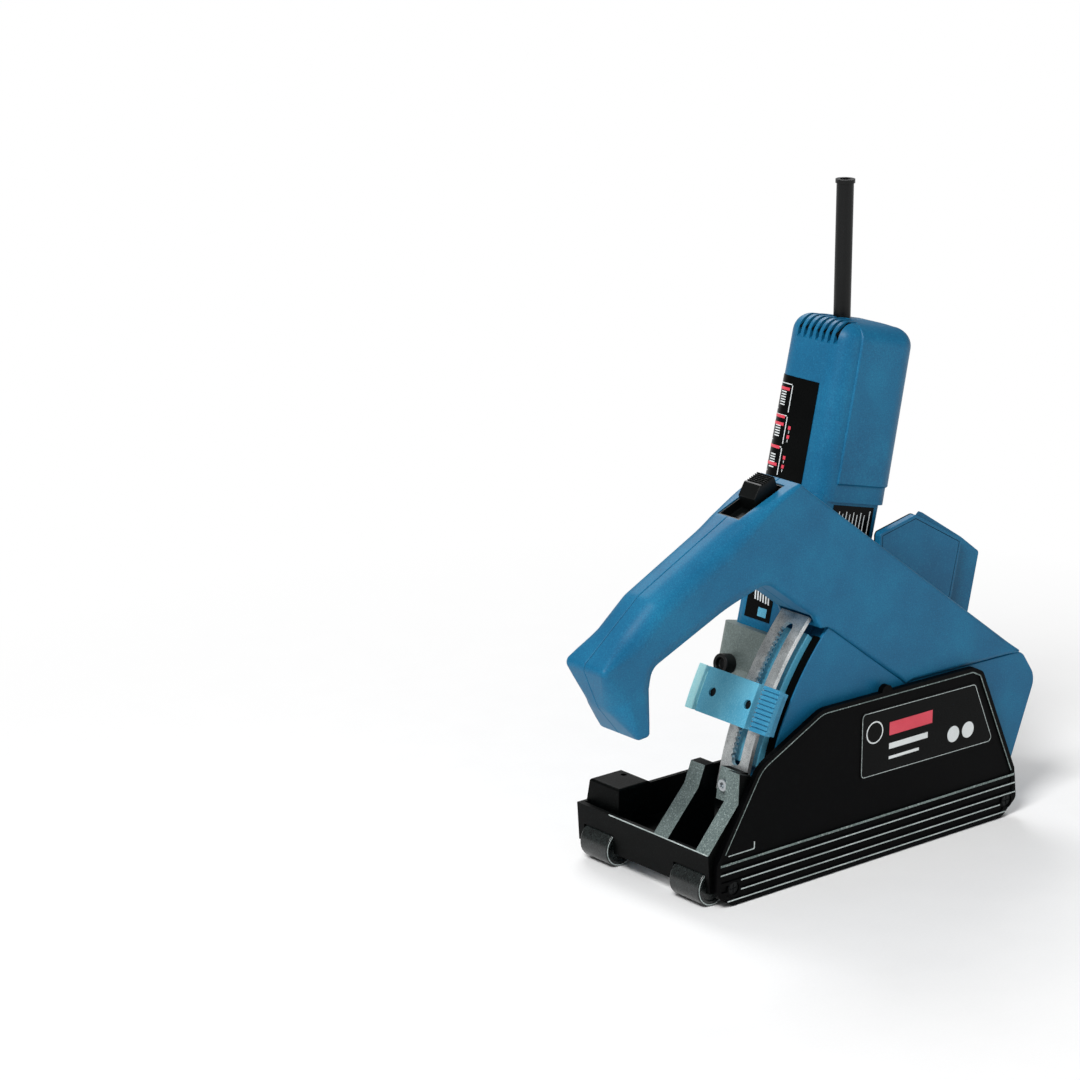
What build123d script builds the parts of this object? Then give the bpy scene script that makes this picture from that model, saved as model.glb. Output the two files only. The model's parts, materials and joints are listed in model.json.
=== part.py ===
from build123d import *
import os
from math import atan2, cos, degrees, radians, sin, tan

# Twin-disc wall chaser, millimetres. The layout frame below has X along the shoe (0 at the front
# wall, growing towards the nose of the hood), Y across it (0 on the near side plate) and Z up from
# the floor. save() moves every piece so that the origin is the bottom centre of the whole object.
MID_X, MID_Y = 103.92, 64.9

# Driving dimensions
PIVOT_X, PIVOT_Z = 240.0, 30.0          # hood pivot pin
SPINDLE_X, SPINDLE_Z = 131.0, 62.0      # disc spindle with the hood raised
TILT = 13.0                             # motor axis from the vertical, hood raised
MOTOR_Y = 90.0                          # motor axis across the tool
DISC_R, DISC_T = 57.5, 2.2              # 115 mm discs
WALL = 3.0                              # moulded shell wall
SHOE_FRONT, SHOE_REAR = -2.0, 271.0
SHOE_NEAR, SHOE_FAR = 3.0, 131.0
SHOE_TOP = 37.2
SOLE_LOW, SOLE_HIGH = 10.8, 13.3        # the sole plate, and the lower edge of the walls round it
SOLE_X = (20.0, 248.0)
DISC_SLOT = (58.0, 204.0, 12.0, 43.0)   # X and Y of the openings in the sole
GEAR_WELL = (102.0, 152.0, 40.0, 111.0)
BRACKET_Y = (54.0, 60.0)                # far bearing of the pivot pin, on the sole
ROLLER_R, ROLLER_X = 12.5, (5.0, 262.0)
ROLLER_Y = ((8.0, 36.0), (97.0, 124.0))
AXLE_R = 3.0
HOOD_R = 195.0                          # front edge of the hood, about the pivot
RAIL_R = 200.0                          # face of the guide rail, proud of the hood's edge
HOOD_NEAR, HOOD_FAR, SEAM_Y = 6.5, 41.5, 24.0
HANDLE_NEAR, HANDLE_FAR = 5.0, 43.0
STRIP_R0, STRIP_R1 = 206.5, 209.5
STRIP_Y = (12.0, 37.0)
STRIP_A = (9.5, 43.7)                   # degrees above the pivot's forward horizontal
SLOT_A, SLOT_W, SLOT_Y = (14.6, 41.8), 8.0, 24.0
STOP_A, STOP_Y = (21.4, 29.5), (0.2, 76.0)
STOP_R = 214.5
STOP_BODY_Y, STOP_END_Y = (19.3, 65.7), 69.2     # the block, and where its bright end starts
GAP = 0.35                              # clearance between parts that slide past each other
PIN_R = 5.0                             # hood pivot pin
SPRING_R, SPRING_WIRE = 9.0, 1.6
BOLT_R, BOLT_Y, BOLT_Z = 2.5, 22.0, 72.8
BOSS_R = 216.5                          # face of the boss in front of the strip's foot
CORNER_X, CORNER_Y, CORNER_TOP = (4.5, 34.5), (99.0, 131.0), 52.0
THREAD_X, THREAD_Y, THREAD_RADIUS, THREAD_LEN = 27.0, 120.0, 2.1, 10.0   # M5 in the corner block


def profile(corners):
    """Closed outline in X, Z from (x, z) or (x, z, corner radius)."""
    shape = Polygon(*[corner[:2] for corner in corners], align=None)
    for corner in corners:
        if len(corner) == 3:
            at = Vector(corner[0], corner[1])
            near = min(shape.vertices(), key=lambda v: (Vector(v.X, v.Y) - at).length)
            shape = fillet(near, corner[2])
    return shape


def slab(sketch, y0, y1):
    """An X, Z outline pushed from y0 to y1."""
    return Pos(0, y1, 0) * extrude(Plane.XZ * sketch, y1 - y0, dir=(0, -1, 0))


def block(x0, x1, y0, y1, z0, z1):
    return Pos((x0 + x1) / 2, (y0 + y1) / 2, (z0 + z1) / 2) * Box(x1 - x0, y1 - y0, z1 - z0)


def rod_y(x, z, radius, y0, y1):
    return Pos(x, (y0 + y1) / 2, z) * Rot(90, 0, 0) * Cylinder(radius, y1 - y0)


def rod_x(y, z, radius, x0, x1):
    return Pos((x0 + x1) / 2, y, z) * Rot(0, 90, 0) * Cylinder(radius, x1 - x0)


def rod_z(x, y, radius, z0, z1):
    return Pos(x, y, (z0 + z1) / 2) * Cylinder(radius, z1 - z0)


def disc(radius):
    """Circle about the hood pivot, in X, Z."""
    return Pos(PIVOT_X, PIVOT_Z) * Circle(radius)


def polar(radius, angle):
    """X, Z of a point at a radius and an angle above the pivot's forward horizontal."""
    return PIVOT_X - radius * cos(radians(angle)), PIVOT_Z + radius * sin(radians(angle))


def band(r0, r1, a0, a1):
    """Ring sector about the pivot, in X, Z."""
    reach = r1 / cos(radians((a1 - a0) / 2)) + 1
    wedge = Polygon((PIVOT_X, PIVOT_Z), polar(reach, a1), polar(reach, (a0 + a1) / 2), polar(reach, a0),
                    align=None)
    return (disc(r1) - disc(r0)) & wedge


def on_arc(shape, radius, angle, y):
    """Place a shape on the strip's arc: its X outwards, its Y across the tool, its Z up the arc."""
    x, z = polar(radius, angle)
    return Location((x, y, z), (0, angle, 0)) * Rot(0, 0, 180) * shape


MOTOR = Location((SPINDLE_X, 0, SPINDLE_Z), (0, TILT, 0))   # its Z is the motor axis
PIECES = {}


def group(pieces):
    """Several separate solids kept as one node."""
    return Compound([solid for piece in pieces for solid in piece.solids()])


def save(name, shape):
    PIECES[name] = shape
    export_step(Pos(-MID_X, -MID_Y, 0) * shape, f"parts/{name}.step")


# ---------------------------------------------------------------- shoe
def roller_wells(shape):
    """Cut the four roller wells and their axle holes."""
    for x in ROLLER_X:
        for y0, y1 in ROLLER_Y:
            shape -= rod_y(x, ROLLER_R, ROLLER_R + 1.0, y0 - 1, y1 + 1)
        shape -= rod_y(x, ROLLER_R, AXLE_R, SHOE_NEAR - 1, SHOE_FAR - WALL)
    return shape


def corner_block():
    """Raised block on the shoe's far front corner, with an M5 thread from its top."""
    x0, x1 = CORNER_X
    y0, y1 = CORNER_Y
    wall = 3.5
    raised = Pos((x0 + x1) / 2, (y0 + y1) / 2, SHOE_TOP)
    raised *= extrude(Rectangle(x1 - x0, y1 - y0), CORNER_TOP - SHOE_TOP, taper=5.5)
    raised = fillet(raised.faces().sort_by(Axis.Z)[-1].edges(), 2.2)
    raised += block(x0, x1, y0, y1, 28.0, SHOE_TOP)
    hollow_top = CORNER_TOP - THREAD_LEN
    raised -= block(x0 + wall, x1 - wall, y0 + wall, y1 - wall, 20.0, hollow_top)
    return raised - rod_z(THREAD_X, THREAD_Y, THREAD_RADIUS, hollow_top - 1, CORNER_TOP + 1)


def shoe_frame():
    """Cast frame: front, far and rear walls, gussets that carry the strip, cheeks that carry the axles."""
    outer = profile([(SHOE_FRONT, SOLE_LOW), (-4.0, SHOE_TOP), (SHOE_REAR, SHOE_TOP), (SHOE_REAR, SOLE_LOW)])
    inner = profile([(1.5, SOLE_LOW - 1), (-1.0, 60), (SHOE_REAR - WALL, 60), (SHOE_REAR - WALL, SOLE_LOW - 1)])
    frame = slab(outer, SHOE_NEAR, SHOE_FAR) - slab(inner, SHOE_NEAR - 1, SHOE_FAR - WALL)
    frame -= block(SHOE_REAR - 30, SHOE_REAR + 1, SHOE_NEAR - 1, SHOE_FAR - WALL, 29.0, 60)
    gusset = profile([(0, SOLE_HIGH), (-3.8, SHOE_TOP), (22.5, 66.0), (28.0, 80.0), (36.0, 80.0), (38.0, SOLE_HIGH)])
    head = profile([(0, SOLE_HIGH), (-3.8, SHOE_TOP), (21.3, 66.0), (22.0, 86.0), (36.5, 80.5), (38.0, SOLE_HIGH)])
    frame += slab(gusset, 42.0, 55.4) + slab(head, SHOE_NEAR, 15.4)
    frame += slab(band(STRIP_R1, BOSS_R, 8.5, 14.2), 11.0, 29.0)
    frame += corner_block()
    front, rear = ROLLER_X
    for y0, y1 in ROLLER_Y:
        frame += block(0.0, front + 15, y0 - 4, y1 + 4, SOLE_HIGH, 20.0)
        frame += block(rear - 10, SHOE_REAR, y0 - 4, y1 + 4, SOLE_HIGH, 20.0)
    frame -= slab(band(STRIP_R0, STRIP_R1, 9.0, 60.0), STRIP_Y[0] - 0.1, STRIP_Y[1] + 0.1)
    return roller_wells(frame) - rod_x(BOLT_Y, BOLT_Z, BOLT_R, 10.0, 60.0)


def sole_plate():
    """Steel sole inside the frame, with the disc slot, the well for the gear case and the pivot bracket."""
    sole = block(SOLE_X[0], SOLE_X[1], SHOE_NEAR, SHOE_FAR - WALL, SOLE_LOW, SOLE_HIGH)
    for opening in (DISC_SLOT, GEAR_WELL):
        sole -= block(*opening, SOLE_LOW - 1, SOLE_HIGH + 1)
    near, far = BRACKET_Y
    sole += block(PIVOT_X - 13, SOLE_X[1], near, far, SOLE_LOW, PIVOT_Z + 15)
    sole -= rod_y(PIVOT_X, PIVOT_Z, PIN_R, near - 1, far + 1)
    return sole - rod_y(PIVOT_X + SPRING_R, PIVOT_Z, SPRING_WIRE / 2, near - 1, near + 4)


PLATE = [(0.5, 9.0, 8), (14.0, 0.7), (262.0, 0.7, 9), (275.8, 12.0, 5), (273.4, 34.0), (239.0, 110.0, 6),
         (230.0, 114.6, 6), (90.0, 115.6, 22), (36.0, 89.0, 26), (0.5, 31.5, 4)]
PLATE_SCREWS = ((15.0, 12.0), (267.0, 11.8))


def side_plate():
    outline = profile(PLATE)
    plate = slab(outline, 0.0, SHOE_NEAR)
    lip = slab(outline, -1.0, 0.0) - slab(offset(outline, amount=-3.5), -2.0, 1.0)
    ribs = slab(outline & Pos(137, 15) * Rectangle(300, 29.6), -1.2, 0.0)
    for level in (26.3, 19.7, 13.2, 6.8):
        ribs -= block(4.0, 272.5, -3.0, -0.2, level - 2.1, level + 2.1)
    plate += lip + ribs
    plate += slab(Pos(148.4, 115.0) * Circle(4.6) & Pos(148.4, 119.0) * Rectangle(12, 12), -1.0, SHOE_NEAR)
    plate += rod_y(PIVOT_X, PIVOT_Z, 12.0, SHOE_NEAR, HOOD_NEAR - 1)
    plate -= rod_y(PIVOT_X, PIVOT_Z, PIN_R, 1.5, HOOD_NEAR)
    for x, z in PLATE_SCREWS:
        plate += rod_y(x, z, 5.6, -1.2, 0.0)
        plate -= rod_y(x, z, 4.4, -2.0, 1.2) + rod_y(x, z, 1.7, 0.0, SHOE_NEAR + 1)
    return plate


def plate_screws():
    screws = []
    for x, z in PLATE_SCREWS:
        head = rod_y(x, z, 4.2, -0.2, 1.2) - block(x - 3, x + 3, -1, 0.5, z - 0.5, z + 0.5)
        head -= block(x - 0.5, x + 0.5, -1, 0.5, z - 3, z + 3)
        screws.append(head + rod_y(x, z, 1.7, 1.2, SHOE_NEAR))
    return group(screws)


def name_plate():
    outline = profile([(126.0, 58.5, 4), (126.0, 104.4, 4), (233.0, 103.2, 4), (252.6, 57.4, 4)])
    return slab(outline, -0.4, 0.0)


def depth_strip():
    strip = slab(band(STRIP_R0, STRIP_R1, *STRIP_A), *STRIP_Y)
    end = degrees(SLOT_W / 2 / STRIP_R1)
    strip -= slab(band(STRIP_R0 - 1, STRIP_R1 + 1, SLOT_A[0] + end, SLOT_A[1] - end),
                  SLOT_Y - SLOT_W / 2, SLOT_Y + SLOT_W / 2)
    for angle in (SLOT_A[0] + end, SLOT_A[1] - end):
        strip -= on_arc(Rot(0, 90, 0) * Cylinder(SLOT_W / 2, 12), STRIP_R1, angle, SLOT_Y)
    step = 1.0
    count = int((SLOT_A[1] - SLOT_A[0] - 2 * end) / step)
    for tooth in range(count):
        notch = Rot(45, 0, 0) * Box(12, 2.2, 2.2)
        strip -= on_arc(notch, STRIP_R1, SLOT_A[0] + end + (tooth + 0.5) * step, SLOT_Y + SLOT_W / 2)
    return strip - rod_x(BOLT_Y, BOLT_Z, BOLT_R, 10.0, 60.0)


def strip_bolt():
    face = PIVOT_X - (BOSS_R ** 2 - (BOLT_Z - PIVOT_Z) ** 2) ** 0.5
    head = rod_x(BOLT_Y, BOLT_Z, 3.9, face - 3.2, face + 0.6) - slab(band(200, BOSS_R, 5, 20), 15, 29)
    head -= Location((face - 3.2, BOLT_Y, BOLT_Z), (0, 90, 0)) * Pos(0, 0, -0.1) * extrude(RegularPolygon(2.2, 6), 1.8)
    return head + rod_x(BOLT_Y, BOLT_Z, BOLT_R, face, face + 10.5)


def pivot_pin():
    return rod_y(PIVOT_X, PIVOT_Z, PIN_R, 1.5, 60.0) + rod_y(PIVOT_X, PIVOT_Z, 8.0, 60.0, 63.0)


def return_spring():
    pitch = 2.0
    coil = sweep(Plane.XZ * Pos(SPRING_R, 0) * Circle(SPRING_WIRE / 2), path=Helix(pitch, 10.0 - SPRING_WIRE, SPRING_R))
    coil = Location((PIVOT_X, HOOD_FAR + 1.6, PIVOT_Z), (-90, 0, 0)) * coil
    return coil + rod_y(PIVOT_X + SPRING_R, PIVOT_Z, 0.8, 51.0, 58.0)


def roller(x, y0, y1):
    wheel = rod_y(x, ROLLER_R, ROLLER_R, y0, y1)
    wheel = fillet(wheel.edges(), 1.2)
    wheel -= rod_y(x, ROLLER_R, 9.0, y0 - 1, y0 + 1.0) + rod_y(x, ROLLER_R, 9.0, y1 - 1.0, y1 + 1)
    return wheel - rod_y(x, ROLLER_R, AXLE_R + 0.05, y0 - 1, y1 + 1)


# ---------------------------------------------------------------- hood and handle
HOOD = [(284.5, 113.0, 10), (299.0, 92.0, 14), (277.0, 35.6, 4), (258.0, 27.5), (243.0, 19.5, 5),
        (232.0, 17.0, 5), (20.0, 64.0), (20.0, 168.0), (99.3, 167.6), (171.8, 114.3)]
HANDLE = [(72.0, 267.0, 3), (283.0, 113.2), (171.8, 114.3), (99.3, 167.6), (93.0, 167.5, 3), (88.0, 176.0, 5),
          (47.0, 206.0, 12), (-44.0, 166.5, 7), (-51.5, 127.0, 3), (-60.0, 125.5, 4), (-78.0, 147.0, 8),
          (-90.5, 175.5, 5), (-46.5, 212.0, 20), (26.0, 249.0, 20)]
BOSSES = ((-60.0, 168.0), (0.0, 213.0), (120.0, 205.0), (222.0, 136.0))
HOOD_BOSSES = ((270.0, 92.0), (205.0, 92.0))


def hood_solid():
    outline = profile(HOOD) & disc(HOOD_R)
    cavity = offset(profile(HOOD), amount=-WALL) & disc(HOOD_R - 9.0)
    mouth = Polygon((62, 30), (62, 62), (215, 40), (215, 5), align=None)
    shell = slab(outline, HOOD_NEAR, HOOD_FAR)
    shell -= slab(cavity + mouth, HOOD_NEAR + WALL, HOOD_FAR - WALL)
    shell -= slab(band(HOOD_R - 6.0, HOOD_R + 5, -5, 50), HOOD_NEAR + 2.6, HOOD_FAR - 2.6)
    shell += rod_y(PIVOT_X, PIVOT_Z, 13.0, HOOD_NEAR, HOOD_FAR)
    for x, z in HOOD_BOSSES:
        shell += rod_y(x, z, 5.0, HOOD_NEAR + 1, HOOD_FAR - 1)
        shell -= rod_y(x, z, 1.8, 18.0, HOOD_FAR + 1) + rod_y(x, z, 3.6, HOOD_FAR - 2, HOOD_FAR + 1)
    shell -= rod_y(PIVOT_X, PIVOT_Z, 8.0, HOOD_NEAR - 1, HOOD_FAR + 1)
    shell -= rod_y(SPINDLE_X, SPINDLE_Z, 21.0, HOOD_FAR - 5, HOOD_FAR + 1)
    shell -= block(214, 250, HOOD_FAR - 5, HOOD_FAR + 1, 74, 102)
    return shell


def handle_solid():
    outline = profile(HANDLE)
    body = slab(outline, HANDLE_NEAR, HANDLE_FAR)
    cavity = slab(offset(outline, amount=-WALL), HANDLE_NEAR + WALL, HANDLE_FAR - WALL)
    channel = slab(band(STRIP_R0 - 2.0, STRIP_R1 + 2.0, 40, 58), STRIP_Y[0] - 2, STRIP_Y[1] + 2)
    body -= cavity
    for x, z in BOSSES:
        body += rod_y(x, z, 5.0, HANDLE_NEAR + 1, HANDLE_FAR - 1)
        body -= rod_y(x, z, 1.8, 18.0, HANDLE_FAR + 1) + rod_y(x, z, 3.6, HANDLE_FAR - 2, HANDLE_FAR + 1)
    return body - channel - SWITCH * recess_solid()


# Slide switch: local X up the handle's top line, local Z out of it, origin on that line.
SWITCH_SLOPE = degrees(atan2(267.0 - 249.0, 72.0 - 26.0))
SWITCH = Location((50.0, SEAM_Y, 249.0 + (50.0 - 26.0) * tan(radians(SWITCH_SLOPE))), (0, -SWITCH_SLOPE, 0))
RECESS_X, RECESS_W, RECESS_D = (-24.0, 18.0), 20.0, 8.0
SLIDER_X, SLIDER_W, SLIDER_H = (-6.0, 14.0), 15.0, 9.0


def recess_solid(shrink=0.0):
    return block(RECESS_X[0] + shrink, RECESS_X[1] - shrink, -RECESS_W / 2 + shrink, RECESS_W / 2 - shrink,
                 -RECESS_D + shrink, 6.0)


def switch_frame():
    frame = block(RECESS_X[0], RECESS_X[1], -RECESS_W / 2, RECESS_W / 2, -RECESS_D, -0.6)
    return SWITCH * (frame - recess_solid(1.5))


def slide_switch():
    low = -RECESS_D + 1.5 + GAP
    slider = block(SLIDER_X[0], SLIDER_X[1], -SLIDER_W / 2, SLIDER_W / 2, low, SLIDER_H)
    slider -= Pos(SLIDER_X[0], 0, SLIDER_H) * Rot(0, -38, 0) * Box(26, 30, 9)
    ribs = 7
    pitch = (SLIDER_X[1] - SLIDER_X[0] - 8) / ribs
    for rib in range(ribs):
        slider -= block(SLIDER_X[0] + 9 + rib * pitch, SLIDER_X[0] + 10 + rib * pitch, -10, 10, SLIDER_H - 0.9,
                        SLIDER_H + 1)
    return SWITCH * slider


def switch_module():
    return SWITCH * block(-22, 16, -8, 8, -26, -RECESS_D - 0.5)


def split(solid, near):
    """The half of a shell on the near or the far side of its seam."""
    half = block(-300, 500, -100, SEAM_Y, -100, 600) if near else block(-300, 500, SEAM_Y, 200, -100, 600)
    return solid & half


def shell_screws():
    screws = []
    for x, z in BOSSES:
        screws.append(rod_y(x, z, 1.8, 20.0, HANDLE_FAR - 2) + rod_y(x, z, 3.4, HANDLE_FAR - 2, HANDLE_FAR - 0.2))
    for x, z in HOOD_BOSSES:
        screws.append(rod_y(x, z, 1.8, 20.0, HOOD_FAR - 2) + rod_y(x, z, 3.4, HOOD_FAR - 2, HOOD_FAR - 0.2))
    return group(screws)


def guide_rail():
    return slab(band(HOOD_R - 6.0, RAIL_R, 15.0, 41.5), 14.0, 35.0)


def pivot_bushes():
    bushes = []
    for y0, y1 in ((HOOD_NEAR, HOOD_NEAR + 11), (HOOD_FAR - 11, HOOD_FAR)):
        bushes.append(rod_y(PIVOT_X, PIVOT_Z, 8.0, y0, y1) - rod_y(PIVOT_X, PIVOT_Z, PIN_R + 0.05, y0 - 1, y1 + 1))
    return group(bushes)


# ---------------------------------------------------------------- dust duct
DUCT = [(209.0, 204.0, 3), (222.5, 213.5, 8), (231.0, 210.0, 5), (269.5, 186.0), (287.5, 172.5, 3), (279.0, 133.0, 3),
        (262.0, 66.0), (206.0, 66.0), (203.0, 130.0)]
DUCT_COVER = [(186.0, 204.5, 3), (219.5, 211.5, 4), (264.5, 186.5, 2), (256.0, 148.0, 2), (240.0, 120.0), (186.0, 150.0)]
DUCT_Y = (52.0, 98.0)
DUCT_BORE_R, DUCT_BORE_LEN = 17.5, 22.0
DUCT_SLOPE = degrees(atan2(287.5 - 279.0, 172.5 - 133.0))
DUCT_MOUTH = Location((283.25, 75.0, 152.75), (0, 90 + DUCT_SLOPE, 0))      # its Z points out of the mouth


def duct_shoulder(inset):
    """Everything above the slant that takes off the duct's front and far top corner."""
    slant = Plane(origin=(231.0, 56.0, 210.0), z_dir=(-0.45, 0.70, 0.55))
    return slant * Pos(0, 0, 100 - inset) * Box(300, 300, 200)


def duct_shell():
    outline = profile(DUCT)
    shell = slab(outline, *DUCT_Y) - duct_shoulder(0.0)
    inner = slab(offset(outline, amount=-2.5), DUCT_Y[0] + 2.5, DUCT_Y[1] - 2.5) - duct_shoulder(2.5)
    collar = DUCT_MOUTH * Pos(0, 0, 100 - DUCT_BORE_LEN) * Box(60, 60, 200)
    shell -= inner - collar
    shell -= DUCT_MOUTH * (Pos(0, 0, -DUCT_BORE_LEN) * Cylinder(DUCT_BORE_R, 3 * DUCT_BORE_LEN))
    shell += block(209, 255, HOOD_FAR, DUCT_Y[0], 69, 107)
    shell -= block(214, 250, HOOD_FAR - 1, DUCT_Y[0] + 4, 74, 102)
    return shell


def duct_cover():
    return slab(profile(DUCT_COVER), 46.5, DUCT_Y[0]) - slab(offset(profile(DUCT_COVER), amount=-2.5), 49.0, 60.0)


# ---------------------------------------------------------------- gear head
CASE_R, CASE_Y = 29.0, (58.0, 98.0)
CASE_TOP = 74.0
CASE_BORE = 25.5
FLANGE_X, FLANGE_W, FLANGE_LOW = (-37.0, 31.0), 62.0, 46.0     # motor flange of the gear case
FLANGE_MID = (FLANGE_X[0] + FLANGE_X[1]) / 2
LOCK_OFFSET, LOCK_TRAVEL = 17.5, 4.0
BUFFER_Y, BUFFER_Z, BUFFER_X = 104.0, 47.5, (-46.0, -37.0)
MOTOR_SCREWS = [(sx * 24.0, MOTOR_Y + sy * 24.0) for sx in (-1, 1) for sy in (-1, 1)]


def lock_rod(radius, y0, y1):
    """A rod on the spindle lock's axis, in the motor's frame."""
    return rod_y(0, -LOCK_OFFSET, radius, y0, y1)


def across(radius, y0, y1):
    """A rod along the spindle, in the motor's frame."""
    return rod_y(0, 0, radius, y0, y1)


def gear_case():
    flange = RectangleRounded(FLANGE_X[1] - FLANGE_X[0], FLANGE_W, 10)
    neck = loft([Pos(0, 80, 14) * Circle(24.0), Pos(FLANGE_MID, MOTOR_Y, FLANGE_LOW) * flange])
    body = across(CASE_R, *CASE_Y) - (across(CASE_R + 1, 90, 99) - across(CASE_R - 4, 90, 99)) + neck
    body += Pos(FLANGE_MID, MOTOR_Y, FLANGE_LOW) * extrude(flange, CASE_TOP - FLANGE_LOW)
    body += Pos(-31.0, BUFFER_Y, BUFFER_Z) * Rot(0, 90, 0) * Cylinder(7.5, 8.0)
    body -= across(2 * CASE_R, 0.0, CASE_Y[0]) + across(CASE_BORE, CASE_Y[0] - 1, 89.0) + across(10.0, 80, 96.5)
    body -= rod_z(0, MOTOR_Y, 11.0, 0, 40) + rod_z(0, MOTOR_Y, 14.0, 36, 50) + rod_z(0, MOTOR_Y, 25.5, 50, 80)
    for x, y in MOTOR_SCREWS:
        body -= rod_z(x, y, 2.0, 60, 80) + rod_z(x, y, 4.2, 20, 66)
    return body - lock_rod(5.0, 88.0, 100.0)


def bearing_cover():
    cover = across(CASE_R, 52.0, CASE_Y[0]) + across(24.0, HOOD_FAR, 52.0) + across(CASE_BORE, CASE_Y[0], 71.0)
    return cover - across(9.5, HOOD_FAR - 1, 60.0) - across(17.5, 59.0, 72.0)


def spindle_bearings():
    near = across(17.5, 59.0, 70.0) - across(7.5, 58.0, 71.0)
    far = across(10.0, 90.5, 96.5) - across(6.0, 90.0, 97.0)
    return group([MOTOR * near, MOTOR * far])


def stop_buffer():
    x0, x1 = BUFFER_X
    buffer = Pos((x0 + x1) / 2, BUFFER_Y, BUFFER_Z) * Rot(0, 90, 0) * Cylinder(6.8, x1 - x0)
    return buffer - Pos(x0, BUFFER_Y, BUFFER_Z) * Rot(0, 90, 0) * Cylinder(4.2, 7.0)


# ---------------------------------------------------------------- motor
BARREL_X, BARREL_W, BARREL_BORE = (-27.5, 36.0), 58.0, 25.5
BARREL_Z, REAR_Z = (CASE_TOP, 172.0), (168.0, 286.0)
REAR_LOW, REAR_HIGH = (-27.8, 41.3, 30.0), (-29.2, 38.5, 29.0)     # front, back and half width at its two ends


def barrel_section():
    return Pos(sum(BARREL_X) / 2, MOTOR_Y) * RectangleRounded(BARREL_X[1] - BARREL_X[0], BARREL_W, 10)


def motor_housing():
    barrel = Pos(0, 0, BARREL_Z[0]) * extrude(barrel_section(), BARREL_Z[1] - BARREL_Z[0])
    barrel -= rod_z(0, MOTOR_Y, BARREL_BORE, BARREL_Z[0] - 1, BARREL_Z[1] - 9)
    barrel -= rod_z(0, MOTOR_Y, 11.0, BARREL_Z[0], BARREL_Z[1] + 1)
    for x, y in MOTOR_SCREWS:
        barrel -= rod_z(x, y, 2.0, 60, 92)
    return barrel


def rear_section(end, z, inset, radius):
    """The rear housing's section at one of its ends, moved inwards all round."""
    x0, x1, half = end
    section = RectangleRounded(x1 - x0 - 2 * inset, 2 * (half - inset), radius)
    return Pos((x0 + x1) / 2, MOTOR_Y, z) * section


def rear_outer(grow=0.0):
    """The rear housing's outside, a little larger all round if asked."""
    return loft([rear_section(REAR_LOW, REAR_Z[0], -grow, 14.0), rear_section(REAR_HIGH, REAR_Z[1], -grow, 14.0)])


SLEEVE_X, SLEEVE_Z, SLEEVE_R, SLEEVE_BORE = 188.5, (322.0, 435.0), 5.7, 3.6


def rear_housing():
    outer = rear_outer()
    outer = fillet(outer.faces().sort_by(Axis.Z)[-1].edges(), 11.0)
    low = rear_section(REAR_LOW, REAR_Z[0] + 3, 2.5, 11.5)
    housing = outer - loft([low, rear_section(REAR_HIGH, REAR_Z[1] - 3, 7.0, 9.0)])
    housing -= Pos(0, 0, REAR_Z[0] - 1) * extrude(barrel_section(), 6)
    for slot in range(7):
        housing -= Pos(-25.0, MOTOR_Y - 18 + 6 * slot, REAR_Z[1] + 1.0) * Rot(0, -40, 0) * Box(24, 2.4, 14)
    housing = MOTOR * housing
    return housing - rod_z(SLEEVE_X, MOTOR_Y, SLEEVE_R, 300.0, 400.0)


def scale_label():
    skin = rear_outer(0.4) - rear_outer()
    return MOTOR * (skin & block(-40, -12, 78.0, 118.0, 178.0, 243.0))


def rating_label():
    side = MOTOR_Y - BARREL_W / 2
    return MOTOR * block(-12, 26, side - 0.4, side, 138, 166)


def flange_label():
    return MOTOR * block(BARREL_X[0] - 0.4, BARREL_X[0], 84, 108, 80, 100)


def cable_sleeve():
    sleeve = rod_z(SLEEVE_X, MOTOR_Y, SLEEVE_R, *SLEEVE_Z)
    sleeve += rod_z(SLEEVE_X, MOTOR_Y, SLEEVE_R + 0.8, SLEEVE_Z[1] - 2.5, SLEEVE_Z[1])
    return sleeve - rod_z(SLEEVE_X, MOTOR_Y, SLEEVE_BORE, SLEEVE_Z[0] - 1, SLEEVE_Z[1] + 1)


def motor_screws():
    return group([MOTOR * (rod_z(x, y, 2.0, 66, 90) + rod_z(x, y, 3.6, 63, 66)) for x, y in MOTOR_SCREWS])


SHAFT_R = 5.0
STACK_R, STACK_Z = 16.0, (84.0, 134.0)
COMMUTATOR_R, COMMUTATOR_Z = 12.0, (142.0, 158.0)
BEARING_Z = ((38.0, 48.0), (164.0, 172.0))


def armature_bearings():
    rings = []
    for (z0, z1), outer in zip(BEARING_Z, (14.0, 11.0)):
        rings.append(MOTOR * (rod_z(0, MOTOR_Y, outer, z0, z1) - rod_z(0, MOTOR_Y, SHAFT_R, z0 - 1, z1 + 1)))
    return group(rings)


def stator():
    core = rod_z(0, MOTOR_Y, BARREL_BORE, 84, 134) - rod_z(0, MOTOR_Y, 17.0, 80, 140)
    for side in (-1, 1):
        core -= block(side * 24 - 4, side * 24 + 4, MOTOR_Y - 9, MOTOR_Y + 9, 80, 140)
    return MOTOR * core


BRUSH_Z = 150.0


def brush_holders():
    holders = []
    for side in (-1, 1):
        middle = MOTOR_Y + side * 19.6
        holder = block(-5, 5, middle - 5.4, middle + 5.4, BRUSH_Z - 6, BRUSH_Z + 6)
        holder -= block(-3, 3, 0, 200, BRUSH_Z - 4, BRUSH_Z + 4)
        holders.append(MOTOR * holder)
    return group(holders)


def carbon_brushes():
    brushes = []
    for side in (-1, 1):
        y = MOTOR_Y + side * (COMMUTATOR_R + GAP + 6)
        brushes.append(MOTOR * block(-3, 3, y - 6, y + 6, BRUSH_Z - 4, BRUSH_Z + 4))
    return group(brushes)


def control_module():
    return MOTOR * block(-20, 24, MOTOR_Y - 20, MOTOR_Y + 20, 184, 214)


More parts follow.
